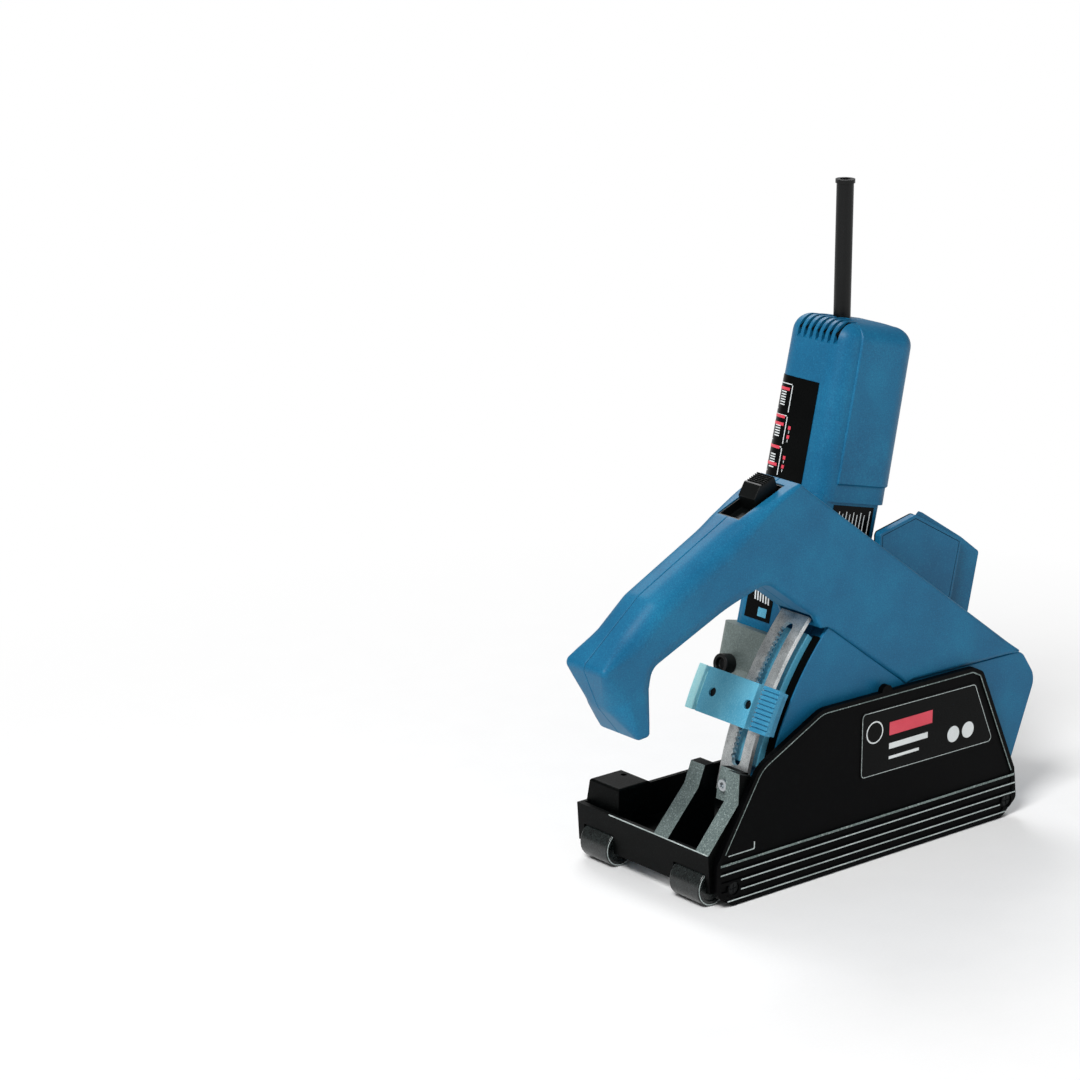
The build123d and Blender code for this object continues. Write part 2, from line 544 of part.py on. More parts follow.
PINION_TEETH, CROWN_TEETH = 12, 37
PITCH_SLOPE = PINION_TEETH / CROWN_TEETH      # radius gained along the axis on the pinion's pitch cone


def armature_shaft():
    shaft = rod_z(0, MOTOR_Y, SHAFT_R, 24.0, 173.0)
    pinion = Pos(0, MOTOR_Y, 19.0) * Cone(PITCH_SLOPE * 14 - 0.2, PITCH_SLOPE * 24 - 0.2, 10.0)
    for tooth in range(PINION_TEETH):
        groove = Rot(0, 0, 360 / PINION_TEETH * tooth) * Pos(PITCH_SLOPE * 19, 0, 19) * Rot(0, 18, 0)
        pinion -= Pos(0, MOTOR_Y, 0) * groove * Box(1.6, 1.5, 16)
    return MOTOR * (shaft + pinion)


def lamination_stack():
    stack = rod_z(0, MOTOR_Y, STACK_R, *STACK_Z) - rod_z(0, MOTOR_Y, SHAFT_R, 80, 140)
    for slot in range(12):
        stack -= Pos(0, MOTOR_Y, 109) * Rot(0, 0, 30 * slot) * Pos(STACK_R, 0, 0) * Box(5, 1.6, 60)
    return MOTOR * stack


def commutator():
    return MOTOR * (rod_z(0, MOTOR_Y, COMMUTATOR_R, *COMMUTATOR_Z) - rod_z(0, MOTOR_Y, SHAFT_R, 140, 160))


def cooling_fan():
    fan = rod_z(0, MOTOR_Y, 24.0, 52.0, 54.0) + rod_z(0, MOTOR_Y, 9.0, 52.0, 66.0)
    for blade in range(12):
        fan += Pos(0, MOTOR_Y, 59.0) * Rot(0, 0, 30 * blade) * Pos(16.0, 0, 0) * Box(15, 1.5, 12)
    return MOTOR * (fan - rod_z(0, MOTOR_Y, SHAFT_R, 50, 70))


# ---------------------------------------------------------------- spindle and discs
NUT_Y, NEAR_DISC, FAR_DISC, FLANGE_Y = (10.2, 15.0), 15.0, 31.0, (33.2, 37.0)
HUB_R, THREAD_R = 11.1, 7.0


def spindle():
    shaft = across(THREAD_R, 10.0, 41.5) + across(9.0, 41.5, 59.0) + across(7.5, 59.0, 73.0) + across(6.0, 73.0, 96.0)
    shaft += across(9.0, 37.0, 42.0)
    return MOTOR * shaft


def crown_gear():
    blank = Polygon((6.0, 74.0), (23.0, 74.0), (23.0, MOTOR_Y - PITCH_SLOPE * 23 - 0.15),
                    (13.0, MOTOR_Y - PITCH_SLOPE * 13 - 0.15), (13.0, 82.0), (6.0, 82.0), align=None)
    gear = revolve(Plane.XY * blank, Axis.Y)
    for tooth in range(CROWN_TEETH):
        gear -= Rot(0, 360 / CROWN_TEETH * tooth, 0) * Pos(18.5, MOTOR_Y - PITCH_SLOPE * 18.5, 0) \
            * Rot(0, 0, -18) * Box(14, 2.4, 1.3)
    return MOTOR * gear


def inner_flange():
    return MOTOR * (across(20.0, *FLANGE_Y) + across(HUB_R - 0.1, NEAR_DISC + 0.3, FLANGE_Y[0])
                    - across(THREAD_R, 0, 40))


def diamond_disc(y0):
    blade = across(DISC_R, y0, y0 + DISC_T) - across(HUB_R, y0 - 1, y0 + DISC_T + 1)
    for slot in range(9):
        blade -= Rot(0, 40 * slot, 0) * Pos(DISC_R - 3, y0 + DISC_T / 2, 0) * Box(12, 5, 2.0)
        blade -= Rot(0, 40 * slot, 0) * (rod_y(DISC_R - 9, 0, 2.2, y0 - 1, y0 + DISC_T + 1))
    for rim0, rim1 in ((y0 - 1, y0 + 0.3), (y0 + DISC_T - 0.3, y0 + DISC_T + 1)):
        blade -= across(DISC_R - 8, rim0, rim1) - across(20.5, rim0 - 1, rim1 + 1)
    return MOTOR * blade


def spacer_rings():
    low, high = NEAR_DISC + DISC_T, FAR_DISC
    step = (high - low) / 3
    return group([MOTOR * (across(17.0, low + step * i, low + step * (i + 1)) - across(HUB_R, 0, 50))
                              for i in range(3)])


def clamping_nut():
    nut = across(19.0, *NUT_Y) - across(THREAD_R, 0, 50)
    for side in (-1, 1):
        nut -= Pos(side * 14.5, NUT_Y[0], 0) * Rot(90, 0, 0) * Cylinder(2.2, 5.0)
    return MOTOR * nut


def spindle_lock():
    seat = CASE_Y[1] + LOCK_TRAVEL + 0.5
    return MOTOR * (lock_rod(8.0, seat, seat + 5.5) + lock_rod(4.95, 91.0, seat))


# ---------------------------------------------------------------- depth stop
def stop_block():
    plate = slab(band(STRIP_R1 + GAP, STOP_R, *STOP_A), *STOP_BODY_Y)
    cheeks = slab(band(STRIP_R0 - 4.5, STRIP_R1 + GAP, *STOP_A), STRIP_Y[1] + 0.5, STOP_BODY_Y[1])
    hook = slab(band(STRIP_R0 - 4.5, STRIP_R0 - GAP, *STOP_A), STRIP_Y[1] - 2.5, STRIP_Y[1] + 0.5)
    guide = slab(band(STRIP_R0, STRIP_R1 + GAP, STOP_A[0] + 1, STOP_A[1] - 1), SLOT_Y - 3.4, SLOT_Y + 1.6)
    stop = plate + cheeks + hook + guide
    for y in STOP_SCREWS:
        stop -= on_arc(Rot(0, 90, 0) * Cylinder(3.1, 6.0), STOP_R, sum(STOP_A) / 2, y)
    return stop


STOP_SCREWS = (56.0, 23.0)


def stop_screws():
    screws = []
    for y in STOP_SCREWS:
        screw = Rot(0, 90, 0) * Cylinder(2.9, 1.6) - Rot(0, 90, 0) * Pos(0, 0, 0.8) * extrude(RegularPolygon(1.5, 6), 1)
        screws.append(on_arc(screw, STOP_R - 2.2, sum(STOP_A) / 2, y))
    return group(screws)


def stop_end():
    end = slab(band(STRIP_R0 - 4.5, STOP_R, *STOP_A), STOP_END_Y, STOP_Y[1])
    return end + slab(band(STRIP_R0 - 1, STOP_R - 3, STOP_A[0] + 1, STOP_A[1] - 1), STOP_BODY_Y[1], STOP_END_Y)


def release_grip():
    grip = slab(band(STRIP_R1 + GAP, STOP_R, *STOP_A), STOP_Y[0], 15.0)
    grip += slab(band(STRIP_R0 - 4.5, STRIP_R1 + GAP, *STOP_A), 4.0, 8.0)
    ribs = 9
    step = (STOP_A[1] - STOP_A[0] - 0.8) / ribs
    for rib in range(ribs):
        angle = STOP_A[0] + 0.7 + rib * step
        grip -= slab(band(STOP_R - 1.1, STOP_R + 2, angle, angle + 0.25 * step), STOP_Y[0] - 1, 20)
    return grip


os.makedirs("parts", exist_ok=True)
save("shoe_frame", shoe_frame())
save("sole_plate", sole_plate())
save("side_plate", side_plate())
save("name_plate", name_plate())
save("plate_screws", plate_screws())
save("depth_strip", depth_strip())
save("strip_bolt", strip_bolt())
save("pivot_pin", pivot_pin())
save("return_spring", return_spring())
for end, x in zip(("front", "rear"), ROLLER_X):
    save(f"{end}_axle", rod_y(x, ROLLER_R, AXLE_R, SHOE_NEAR, SHOE_FAR - WALL))
    for side, (y0, y1) in zip(("near", "far"), ROLLER_Y):
        save(f"roller_{end}_{side}", roller(x, y0, y1))

save("hood_near_shell", split(hood_solid(), True))
save("hood_far_shell", split(hood_solid(), False))
save("guide_rail", guide_rail())
save("pivot_bushes", pivot_bushes())
save("handle_near_shell", split(handle_solid(), True))
save("handle_far_shell", split(handle_solid(), False))
save("shell_screws", shell_screws())
save("switch_frame", switch_frame())
save("switch_module", switch_module())
save("slide_switch", slide_switch())
save("duct_shell", duct_shell())
save("duct_cover", duct_cover())

save("gear_case", MOTOR * gear_case())
save("bearing_cover", MOTOR * bearing_cover())
save("spindle_bearings", spindle_bearings())
save("stop_buffer", MOTOR * stop_buffer())
save("motor_housing", MOTOR * motor_housing())
save("rear_housing", rear_housing())
save("scale_label", scale_label())
save("rating_label", rating_label())
save("flange_label", flange_label())
save("cable_sleeve", cable_sleeve())
save("motor_screws", motor_screws())
save("armature_bearings", armature_bearings())
save("stator", stator())
save("brush_holders", brush_holders())
save("carbon_brushes", carbon_brushes())
save("control_module", control_module())

save("armature_shaft", armature_shaft())
save("lamination_stack", lamination_stack())
save("commutator", commutator())
save("cooling_fan", cooling_fan())

save("spindle", spindle())
save("crown_gear", crown_gear())
save("inner_flange", inner_flange())
save("disc_near", diamond_disc(NEAR_DISC))
save("disc_far", diamond_disc(FAR_DISC))
save("spacer_rings", spacer_rings())
save("clamping_nut", clamping_nut())
save("spindle_lock", spindle_lock())

save("stop_block", stop_block())
save("stop_screws", stop_screws())
save("stop_end", stop_end())
save("release_grip", release_grip())

boxes = [piece.bounding_box() for piece in PIECES.values()]
for axis in "XYZ":
    low, high = min(getattr(b.min, axis) for b in boxes), max(getattr(b.max, axis) for b in boxes)
    print(axis, round(low, 2), round(high, 2), "middle", round((low + high) / 2, 2))
print(len(PIECES), "nodes")
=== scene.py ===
# %% [markdown]
# # A wall chaser
# A wall chaser cuts two parallel slits in masonry. The CAD frame already holds every part at its real
# size and place, so this lesson gives those parts their finish: softened edges, moulded surfaces that a
# CAD solid leaves plain, printed marks, and a material for each surface.

# %% Load the frame
import json
from math import cos, radians, sin

import bpy
import bmesh
import numpy as np
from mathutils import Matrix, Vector

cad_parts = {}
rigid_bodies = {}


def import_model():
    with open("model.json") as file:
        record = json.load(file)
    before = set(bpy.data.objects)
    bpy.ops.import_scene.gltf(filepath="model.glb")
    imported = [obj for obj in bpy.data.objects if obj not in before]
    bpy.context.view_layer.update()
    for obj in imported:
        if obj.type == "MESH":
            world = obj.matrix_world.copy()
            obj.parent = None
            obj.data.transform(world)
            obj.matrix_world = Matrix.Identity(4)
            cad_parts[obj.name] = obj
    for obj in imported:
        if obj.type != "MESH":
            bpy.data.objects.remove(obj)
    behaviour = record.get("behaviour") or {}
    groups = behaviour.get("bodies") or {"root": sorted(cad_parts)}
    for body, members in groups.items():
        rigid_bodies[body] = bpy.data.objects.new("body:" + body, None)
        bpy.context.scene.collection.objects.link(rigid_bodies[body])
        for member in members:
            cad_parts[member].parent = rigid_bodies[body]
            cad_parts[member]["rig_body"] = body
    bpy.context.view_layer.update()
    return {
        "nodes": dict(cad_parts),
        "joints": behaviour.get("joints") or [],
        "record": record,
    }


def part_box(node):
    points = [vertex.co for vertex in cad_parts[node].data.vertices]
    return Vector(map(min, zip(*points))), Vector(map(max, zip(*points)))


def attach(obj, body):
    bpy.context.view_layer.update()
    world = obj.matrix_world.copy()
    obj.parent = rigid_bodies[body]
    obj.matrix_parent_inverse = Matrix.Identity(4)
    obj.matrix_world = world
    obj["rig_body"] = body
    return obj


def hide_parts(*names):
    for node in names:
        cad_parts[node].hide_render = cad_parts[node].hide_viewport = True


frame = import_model()
joints = {joint["name"]: joint for joint in frame["joints"]}

# %% [markdown]
# ## One ruler for everything
# The maker's drawing puts zero at the front wall, on the side plate and on the floor, and the hood turns
# about a pin at (240, 24, 30) mm on it. The frame gives the same pin in metres from its own origin, so the
# difference between the two moves any drawing point into the frame.

# %% From the drawing to the frame
PIVOT = np.array([240.0, 24.0, 30.0])
SHIFT = np.array(joints["hood_plunge"]["pos_m"]) * 1000 - PIVOT
SPINDLE = np.array([131.0, 0.0, 62.0])
TILT = radians(13.0)
MOTOR_Y = 90.0


def in_frame(points):
    """Drawing millimetres to frame metres: add the shift, divide by 1000."""
    return (np.asarray(points, float) + SHIFT) / 1000


def along_motor(points):
    """Motor millimetres (z up the motor axis, x behind it) to drawing millimetres: a turn by the tilt."""
    x, y, z = np.moveaxis(np.asarray(points, float), -1, 0)
    return np.stack([x * cos(TILT) + z * sin(TILT), y, z * cos(TILT) - x * sin(TILT)], -1) + SPINDLE


def on_strip(radius, angle, y):
    """A point at a radius and an angle (degrees above the pivot's forward horizontal)."""
    angle = np.radians(angle)
    x, z = PIVOT[0] - radius * np.cos(angle), PIVOT[2] + radius * np.sin(angle)
    return np.stack(np.broadcast_arrays(x, y, z), -1)


print("shift", SHIFT.round(2))

# %% [markdown]
# ## Camera and light
# A catalogue shot is taken from far away with a long lens, so that edges stay nearly parallel. The camera
# looks down a little from the grip's side.

# %% Camera
AZIMUTH, ELEVATION, DISTANCE, LENS = radians(39.55), radians(16.06), 2.15, 112.9
AIM = Vector(in_frame([-40.38, 125.2, 224.3]))
look = Vector((sin(AZIMUTH) * cos(ELEVATION), cos(AZIMUTH) * cos(ELEVATION), -sin(ELEVATION)))
camera = bpy.data.objects.new("camera", bpy.data.cameras.new("camera"))
camera.data.lens = LENS
camera.location = AIM - look * DISTANCE
camera.rotation_euler = look.to_track_quat("-Z", "Y").to_euler()
bpy.context.scene.collection.objects.link(camera)
bpy.context.scene.camera = camera
bpy.context.scene.view_settings.view_transform = "Standard"
print("camera at", [round(v, 3) for v in camera.location])

# %% [markdown]
# One large soft light from the left gives the tops and fronts their sheen, a weaker one fills the side
# plate, and a third behind the tool lifts the rear edges off the room.


# %% Lights
def soft_box(name, place, aim, size, watts):
    """A square area light that faces the point it is aimed at."""
    data = bpy.data.lights.new(name, "AREA")
    data.shape, data.size, data.energy = "SQUARE", size, watts
    lamp = bpy.data.objects.new(name, data)
    lamp.location = place
    lamp.rotation_euler = (Vector(aim) - Vector(place)).to_track_quat("-Z", "Y").to_euler()
    bpy.context.scene.collection.objects.link(lamp)


soft_box("key", (-1.3, -0.6, 1.7), (0, 0, 0.15), 0.7, 39)
soft_box("side fill", (0.5, -2.2, 0.8), (0.05, 0, 0.15), 1.2, 3.5)
soft_box("back rim", (0.7, 1.3, 1.5), (0, 0, 0.2), 0.9, 16)
print("lights", len(bpy.data.lights))

# %% [markdown]
# The room round the camera is white to look at, as a studio sweep is, but it lights the tool with a quarter
# of that. Otherwise every black part would mirror the room and turn grey.

# %% White room
ROOM_LIGHT, ROOM_LOOK = 0.24, 1.0
world = bpy.data.worlds.new("studio")
world.use_nodes = True
room = world.node_tree.nodes
background = room["Background"]
seen = room.new("ShaderNodeLightPath")
strength = room.new("ShaderNodeMapRange")
strength.inputs["To Min"].default_value = ROOM_LIGHT
strength.inputs["To Max"].default_value = ROOM_LOOK
world.node_tree.links.new(seen.outputs["Is Camera Ray"], strength.inputs["Value"])
world.node_tree.links.new(strength.outputs[0], background.inputs["Strength"])
background.inputs["Color"].default_value = (1, 1, 1, 1)
bpy.context.scene.world = world
print("room light", ROOM_LIGHT)

# %% [markdown]
# ## A small kit for materials
# Every finish below is built from the same few steps: a colour chosen as a hex value, noise at a real
# grain size, and a bump from that noise. One function adds any node with its settings and its links.


# %% Colours and nodes
def linear(hex_colour):
    """An sRGB hex colour as linear light: ((c + 0.055) / 1.055) ** 2.4 a channel, or c / 12.92 if dark."""
    channels = np.array([int(hex_colour[i:i + 2], 16) / 255 for i in (1, 3, 5)])
    light = np.where(channels > 0.04045, ((channels + 0.055) / 1.055) ** 2.4, channels / 12.92)
    return (*light.tolist(), 1.0)


def add(material, kind, settings=(), **links):
    """Adds a node of any kind, sets its properties and sockets, and links the sockets given a source.

    A settings key that names or numbers a socket sets that socket, and any other key sets a property. A link
    is given by the socket's name, or by _ and its number."""
    made = material.node_tree.nodes.new("ShaderNode" + kind)
    for key, value in dict(settings).items():
        if isinstance(key, int) or key in made.inputs:
            made.inputs[key].default_value = value
        else:
            setattr(made, key, value)
    for key, source in links.items():
        socket = made.inputs[int(key[1:])] if key[0] == "_" else made.inputs[key.replace("_", " ")]
        material.node_tree.links.new(source, socket)
    return made


def ramp(material, source, stops):
    """A colour ramp through (place, hex colour) stops."""
    made = add(material, "ValToRGB", Fac=source)
    elements = made.color_ramp.elements
    while len(elements) < len(stops):
        elements.new(0.5)
    for element, (place, colour) in zip(elements, stops):
        element.position, element.color = place, linear(colour)
    return made.outputs["Color"]


print("white is", linear("#FFFFFF"))

# %% [markdown]
# A moulded or painted surface is never one colour. Its grain catches light at the scale of the tool's
# etching, and handling leaves a broad mottle. One function mixes the two scales and drives colour,
# roughness and bump from them, so that they agree with each other.


# %% Surface finish
GRAIN_SHARE = 0.6                       # of the mix, the rest is the broad mottle
SPECK_SIZE = 1.7                        # times the grain


def surface(name, shades, rough, grain_mm, bump_mm, metallic=0.0, mottle_mm=35.0, specks=None, specular=None):
    """A finish with two scales of noise: a fine grain that sets bump and sparkle, and a broad mottle.

    shades are the colours of the grain's valleys, middle and peaks, rough is (lowest, highest) roughness,
    grain_mm and mottle_mm are the sizes of the two patterns, and specks is (hex colour, amount)."""
    material = bpy.data.materials.new(name)
    material.use_nodes = True
    material.node_tree.nodes.clear()
    place = add(material, "TexCoord").outputs["Object"]
    fine = add(material, "TexNoise", {"Scale": 1000 / grain_mm, "Detail": 4.0, "Roughness": 0.6},
               Vector=place)
    broad = add(material, "TexNoise", {"Scale": 1000 / mottle_mm, "Detail": 3.0}, Vector=place)
    share = add(material, "Math", {"operation": "MULTIPLY", 1: 1 - GRAIN_SHARE},
                _0=broad.outputs["Fac"])
    mixed = add(material, "Math", {"operation": "MULTIPLY_ADD", 1: GRAIN_SHARE}, _0=fine.outputs["Fac"],
                _2=share.outputs[0]).outputs[0]
    colour = ramp(material, mixed, list(zip((0.3, 0.5, 0.7), shades)))
    if specks:
        speck = add(material, "TexNoise", {"Scale": 1000 / (grain_mm * SPECK_SIZE), "Detail": 2.0},
                    Vector=place)
        amount = add(material, "MapRange", {"From Min": 0.56, "From Max": 0.68, "To Max": specks[1]},
                     Value=speck.outputs["Fac"])
        colour = add(material, "Mix", {"data_type": "RGBA", 7: linear(specks[0])}, _0=amount.outputs[0],
                     _6=colour).outputs[2]
    spread = add(material, "MapRange", {"From Min": 0.3, "From Max": 0.7, "To Min": rough[0],
                                        "To Max": rough[1]}, Value=mixed)
    bump = add(material, "Bump", {"Strength": 0.6, "Distance": bump_mm / 1000}, Height=fine.outputs["Fac"])
    shader = add(material, "BsdfPrincipled", {"Metallic": metallic}, Base_Color=colour,
                 Roughness=spread.outputs[0], Normal=bump.outputs[0])
    if specular is not None:
        shader.inputs["Specular IOR Level"].default_value = specular
    add(material, "OutputMaterial", Surface=shader.outputs["BSDF"])
    return material


print("kit ready")

# %% [markdown]
# ## The finishes
# The blue shells are glass-filled nylon, moulded against a finely etched tool: satin, with a faint sparkle
# of grain. The stop block is steel under a light blue powder coat. Its ribbed grip and its end are the same
# coat in other shades: a darker copy is painted shade on the grip, and a paler copy is a painted highlight
# on the end.

# %% Blue finishes
nylon_blue = surface("moulded glass-filled nylon, blue", ("#0D5278", "#12638A", "#1A7AA0"), (0.38, 0.52),
                     0.8, 0.05, specular=0.22, specks=("#2F8DB2", 0.18))
powder_blue = surface("powder-coated steel, light blue", ("#4496B8", "#56A9C8", "#74C2DA"), (0.34, 0.48),
                      0.6, 0.05, specular=0.3, specks=("#A8E2EE", 0.25))
powder_painted_shade = surface("powder-coated steel, painted shade on the ribbed grip", ("#226F95", "#2F80A5", "#4698B8"), (0.34, 0.48),
                      0.6, 0.05, specular=0.3, specks=("#6FBBD2", 0.25))
powder_painted_highlight = surface("powder-coated steel, painted highlight on the end", ("#84D2DF", "#A9E4EA", "#C9F3F4"), (0.3, 0.42),
                      0.6, 0.05, specular=0.3, specks=("#D5F7F8", 0.3))
print("blue finishes", len(bpy.data.materials))

# %% [markdown]
# The shoe is a die casting under textured black paint, which swallows light in its grain, so its gloss is
# low. Some of its faces are painted a lighter grey, and its proud edges carry painted highlights.

# %% Shoe finishes
paint_black = surface("textured black paint on a casting", ("#010101", "#020303", "#040606"), (0.32, 0.55),
                      0.7, 0.10, specks=("#1A2322", 0.3), specular=0.06)
paint_plate = surface("textured black paint on sheet", ("#010101", "#020203", "#030505"), (0.34, 0.55),
                      0.7, 0.06, specks=("#101817", 0.2), specular=0.04)
# A lighter grey for the shoe's faces that lean forward and up.
paint_lighter_grey = surface("textured paint, lighter grey", ("#3A4645", "#667472", "#99A7A5"), (0.5, 0.7),
                       0.7, 0.12, specks=("#BAC8C6", 0.4), specular=0.2)
# The next two are painted highlights for proud edges, bright and grey; the bright one is also the name
# plate's silver print.
highlight_and_silver = surface("painted highlight on edges, and silver print", ("#7E8B89", "#B0BCBA", "#DEE5E4"), (0.4, 0.6),
                      0.9, 0.1, specks=("#EEF4F3", 0.4))
grey_highlight = surface("grey painted highlight on a rib and a rim", ("#3B4745", "#6B7A77", "#9DABA8"), (0.4, 0.6),
                     0.9, 0.1, specks=("#C3CFCC", 0.5), specular=0.3)
print("with the shoe", len(bpy.data.materials))

# %% [markdown]
# The small black parts differ in gloss: the switch is moulded nylon, the rollers are turned and polished
# by use, the cable sleeve is matt rubber, and the labels are smooth printed foil.

# %% Small black parts and printing inks
nylon_black = surface("moulded nylon, black", ("#030404", "#060808", "#0E1212"), (0.30, 0.45),
                      0.5, 0.03, specular=0.2)
roller_nylon = surface("turned nylon roller, polished by use", ("#050707", "#0C1111", "#232B2A"), (0.2, 0.36),
                       0.6, 0.03, mottle_mm=5.0, specks=("#56625F", 0.25), specular=0.5)
rubber_black = surface("matt black rubber", ("#030404", "#060707", "#0E1010"), (0.32, 0.55),
                       0.5, 0.03, specular=0.25)
foil_black = surface("printed foil, black", ("#020303", "#050606", "#090B0B"), (0.2, 0.32),
                     0.4, 0.01, specular=0.06)
ink_white = surface("printing ink, white", ("#C9CFCF", "#DDE2E2", "#EFF3F3"), (0.4, 0.5), 0.3, 0.005)
ink_red = surface("printing ink, red", ("#C02B3E", "#DB384D", "#EA596D"), (0.4, 0.5), 0.3, 0.005)
# Dark slabs in the seam, the slots and beside the rail are painted shade; the duct's joint takes the same
# dark.
shadow_gap = surface("painted shade in gaps, and dark joints", ("#010202", "#020303", "#040505"), (0.6, 0.8),
                     0.5, 0.02, specular=0.05)
print("with the black parts", len(bpy.data.materials))

# %% [markdown]
# The depth strip is bare rolled steel and the gear case is aluminium as it left the die. Inside are the
# metals of a motor: zinc-plated screws, blackened gears, copper, stacked steel and carbon.

# %% Metals and inner parts
bare_steel = surface("bare rolled steel", ("#8A9092", "#CDD1D1", "#F8F9F8"), (0.28, 0.46),
                     0.6, 0.04, metallic=0.8, mottle_mm=7.0, specks=("#4E5658", 0.3))
cast_aluminium = surface("aluminium as cast", ("#56625F", "#717D7A", "#8D9996"), (0.42, 0.6),
                         0.9, 0.08, metallic=0.5, mottle_mm=22.0, specks=("#A9B6B3", 0.2))
zinc_steel = surface("zinc-plated steel", ("#8A8F93", "#A9AEB1", "#C9CDCF"), (0.25, 0.4),
                     0.8, 0.02, metallic=1.0, mottle_mm=12.0)
black_steel = surface("blackened steel", ("#101112", "#1A1C1D", "#2C2F30"), (0.35, 0.55),
                      0.8, 0.03, metallic=0.8)
copper = surface("turned copper", ("#8A4A2A", "#B8683F", "#D98B5E"), (0.2, 0.35), 0.5, 0.01, metallic=1.0)
bronze = surface("sintered bronze", ("#6E5427", "#8E6E35", "#AF8C4B"), (0.35, 0.5), 0.5, 0.03, metallic=1.0)
lamination_steel = surface("stacked electrical steel", ("#303236", "#45484C", "#5E6266"), (0.4, 0.6),
                           0.5, 0.04, metallic=0.9)
carbon = surface("pressed carbon", ("#0C0C0D", "#151516", "#232325"), (0.5, 0.7), 0.4, 0.03)
disc_steel = surface("disc core and sintered rim", ("#5A5E62", "#83878B", "#A6AAAD"), (0.3, 0.5),
                     0.7, 0.04, metallic=0.9, mottle_mm=15.0)
potting_grey = surface("potting resin, grey", ("#2C2F31", "#3A3D40", "#4B4F52"), (0.3, 0.5), 1.0, 0.03)
print("with the metals", len(bpy.data.materials))

# %% [markdown]
# Each CAD part names the finish it needs by its slot. Dressing them all first means that every copy made
# later starts with the right finish.

# %% Dress the CAD parts
SLOT_FINISH = {
    "shoe_black": paint_black, "plate_black": paint_plate, "name_plate": foil_black,
    "strip_steel": bare_steel, "zinc_steel": zinc_steel, "black_steel": black_steel,
    "roller_black": roller_nylon, "housing_blue": nylon_blue, "stop_blue": powder_blue,
    "switch_black": nylon_black, "gear_grey": cast_aluminium, "label_black": foil_black,
    "rubber_black": rubber_black, "bearing_steel": zinc_steel, "gear_steel": black_steel,
    "lamination": lamination_steel, "copper": copper, "bronze": bronze, "carbon": carbon,
    "disc_steel": disc_steel, "module_grey": potting_grey,
}
node_slot = {part["node"]: part["material_slot"] for part in frame["record"]["subparts"]}
for name, node in frame["nodes"].items():
    node.data.materials.clear()
    node.data.materials.append(SLOT_FINISH[node_slot[name]])
print("nodes dressed", len(frame["nodes"]))

# %% [markdown]
# ## A small kit for shapes
# Most of the shell parts are a flat outline pushed across the tool, with edges rounded by the mould. A
# motor shell is a rounded rectangle that changes a little as it rises, and a printed mark is a thin tile.
# All of them come down to the same thing: a stack of rings of points, joined ring to ring and closed at
# both ends.


# %% From rings to a piece
def stack_faces(rows, columns, start=0, closed=False):
    """The faces that join a stack of rings: a square for each step along and round, and a lid at each end.

    A closed stack joins its last ring to its first instead of having lids."""
    steps = rows if closed else rows - 1
    i, j = np.meshgrid(np.arange(steps), np.arange(columns), indexing="ij")
    near, far = i * columns, (i + 1) % rows * columns
    around = (j + 1) % columns
    quads = np.stack([near + j, near + around, far + around, far + j], -1).reshape(-1, 4) + start
    lids = [] if closed else [list(range(start, start + columns))[::-1],
                              list(range(start + (rows - 1) * columns, start + rows * columns))]
    return quads.tolist() + lids


def smooth_shading(piece, sharp):
    """Smooth below an angle, and flat faces kept flat by weighting normals with face area."""
    piece.data.shade_smooth()
    piece.data.set_sharp_from_angle(angle=radians(sharp))
    weighted = piece.modifiers.new("flat faces stay flat", "WEIGHTED_NORMAL")
    weighted.keep_sharp = True


def piece_from(name, stacks, material, body, replaced=(), closed=False, sharp=40.0):
    """One piece from stacks of rings in drawing millimetres, turned outwards and riding on its body."""
    points, faces, start = [], [], 0
    for stack in stacks:
        points.append(in_frame(stack).reshape(-1, 3))
        faces += stack_faces(stack.shape[0], stack.shape[1], start, closed)
        start += stack.shape[0] * stack.shape[1]
    mesh = bpy.data.meshes.new(name)
    mesh.from_pydata(np.concatenate(points).tolist(), [], faces)
    work = bmesh.new()
    work.from_mesh(mesh)
    bmesh.ops.recalc_face_normals(work, faces=work.faces)
    work.to_mesh(mesh)
    work.free()
    mesh.materials.append(material)
    piece = bpy.data.objects.new(name, mesh)
    bpy.context.scene.collection.objects.link(piece)
    smooth_shading(piece, sharp)
    if body:
        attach(piece, body)
    if replaced:
        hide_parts(*replaced)
    return piece


print("a cube has", len(stack_faces(2, 4)), "faces")

# %% [markdown]
# A part that is cut from a flat outline has straight sides and round corners. Given the corners and their
# radii, the outline is worked out as arcs and straight runs, and the same outline with rounded edges is a
# stack of rings, each a little smaller than the last.


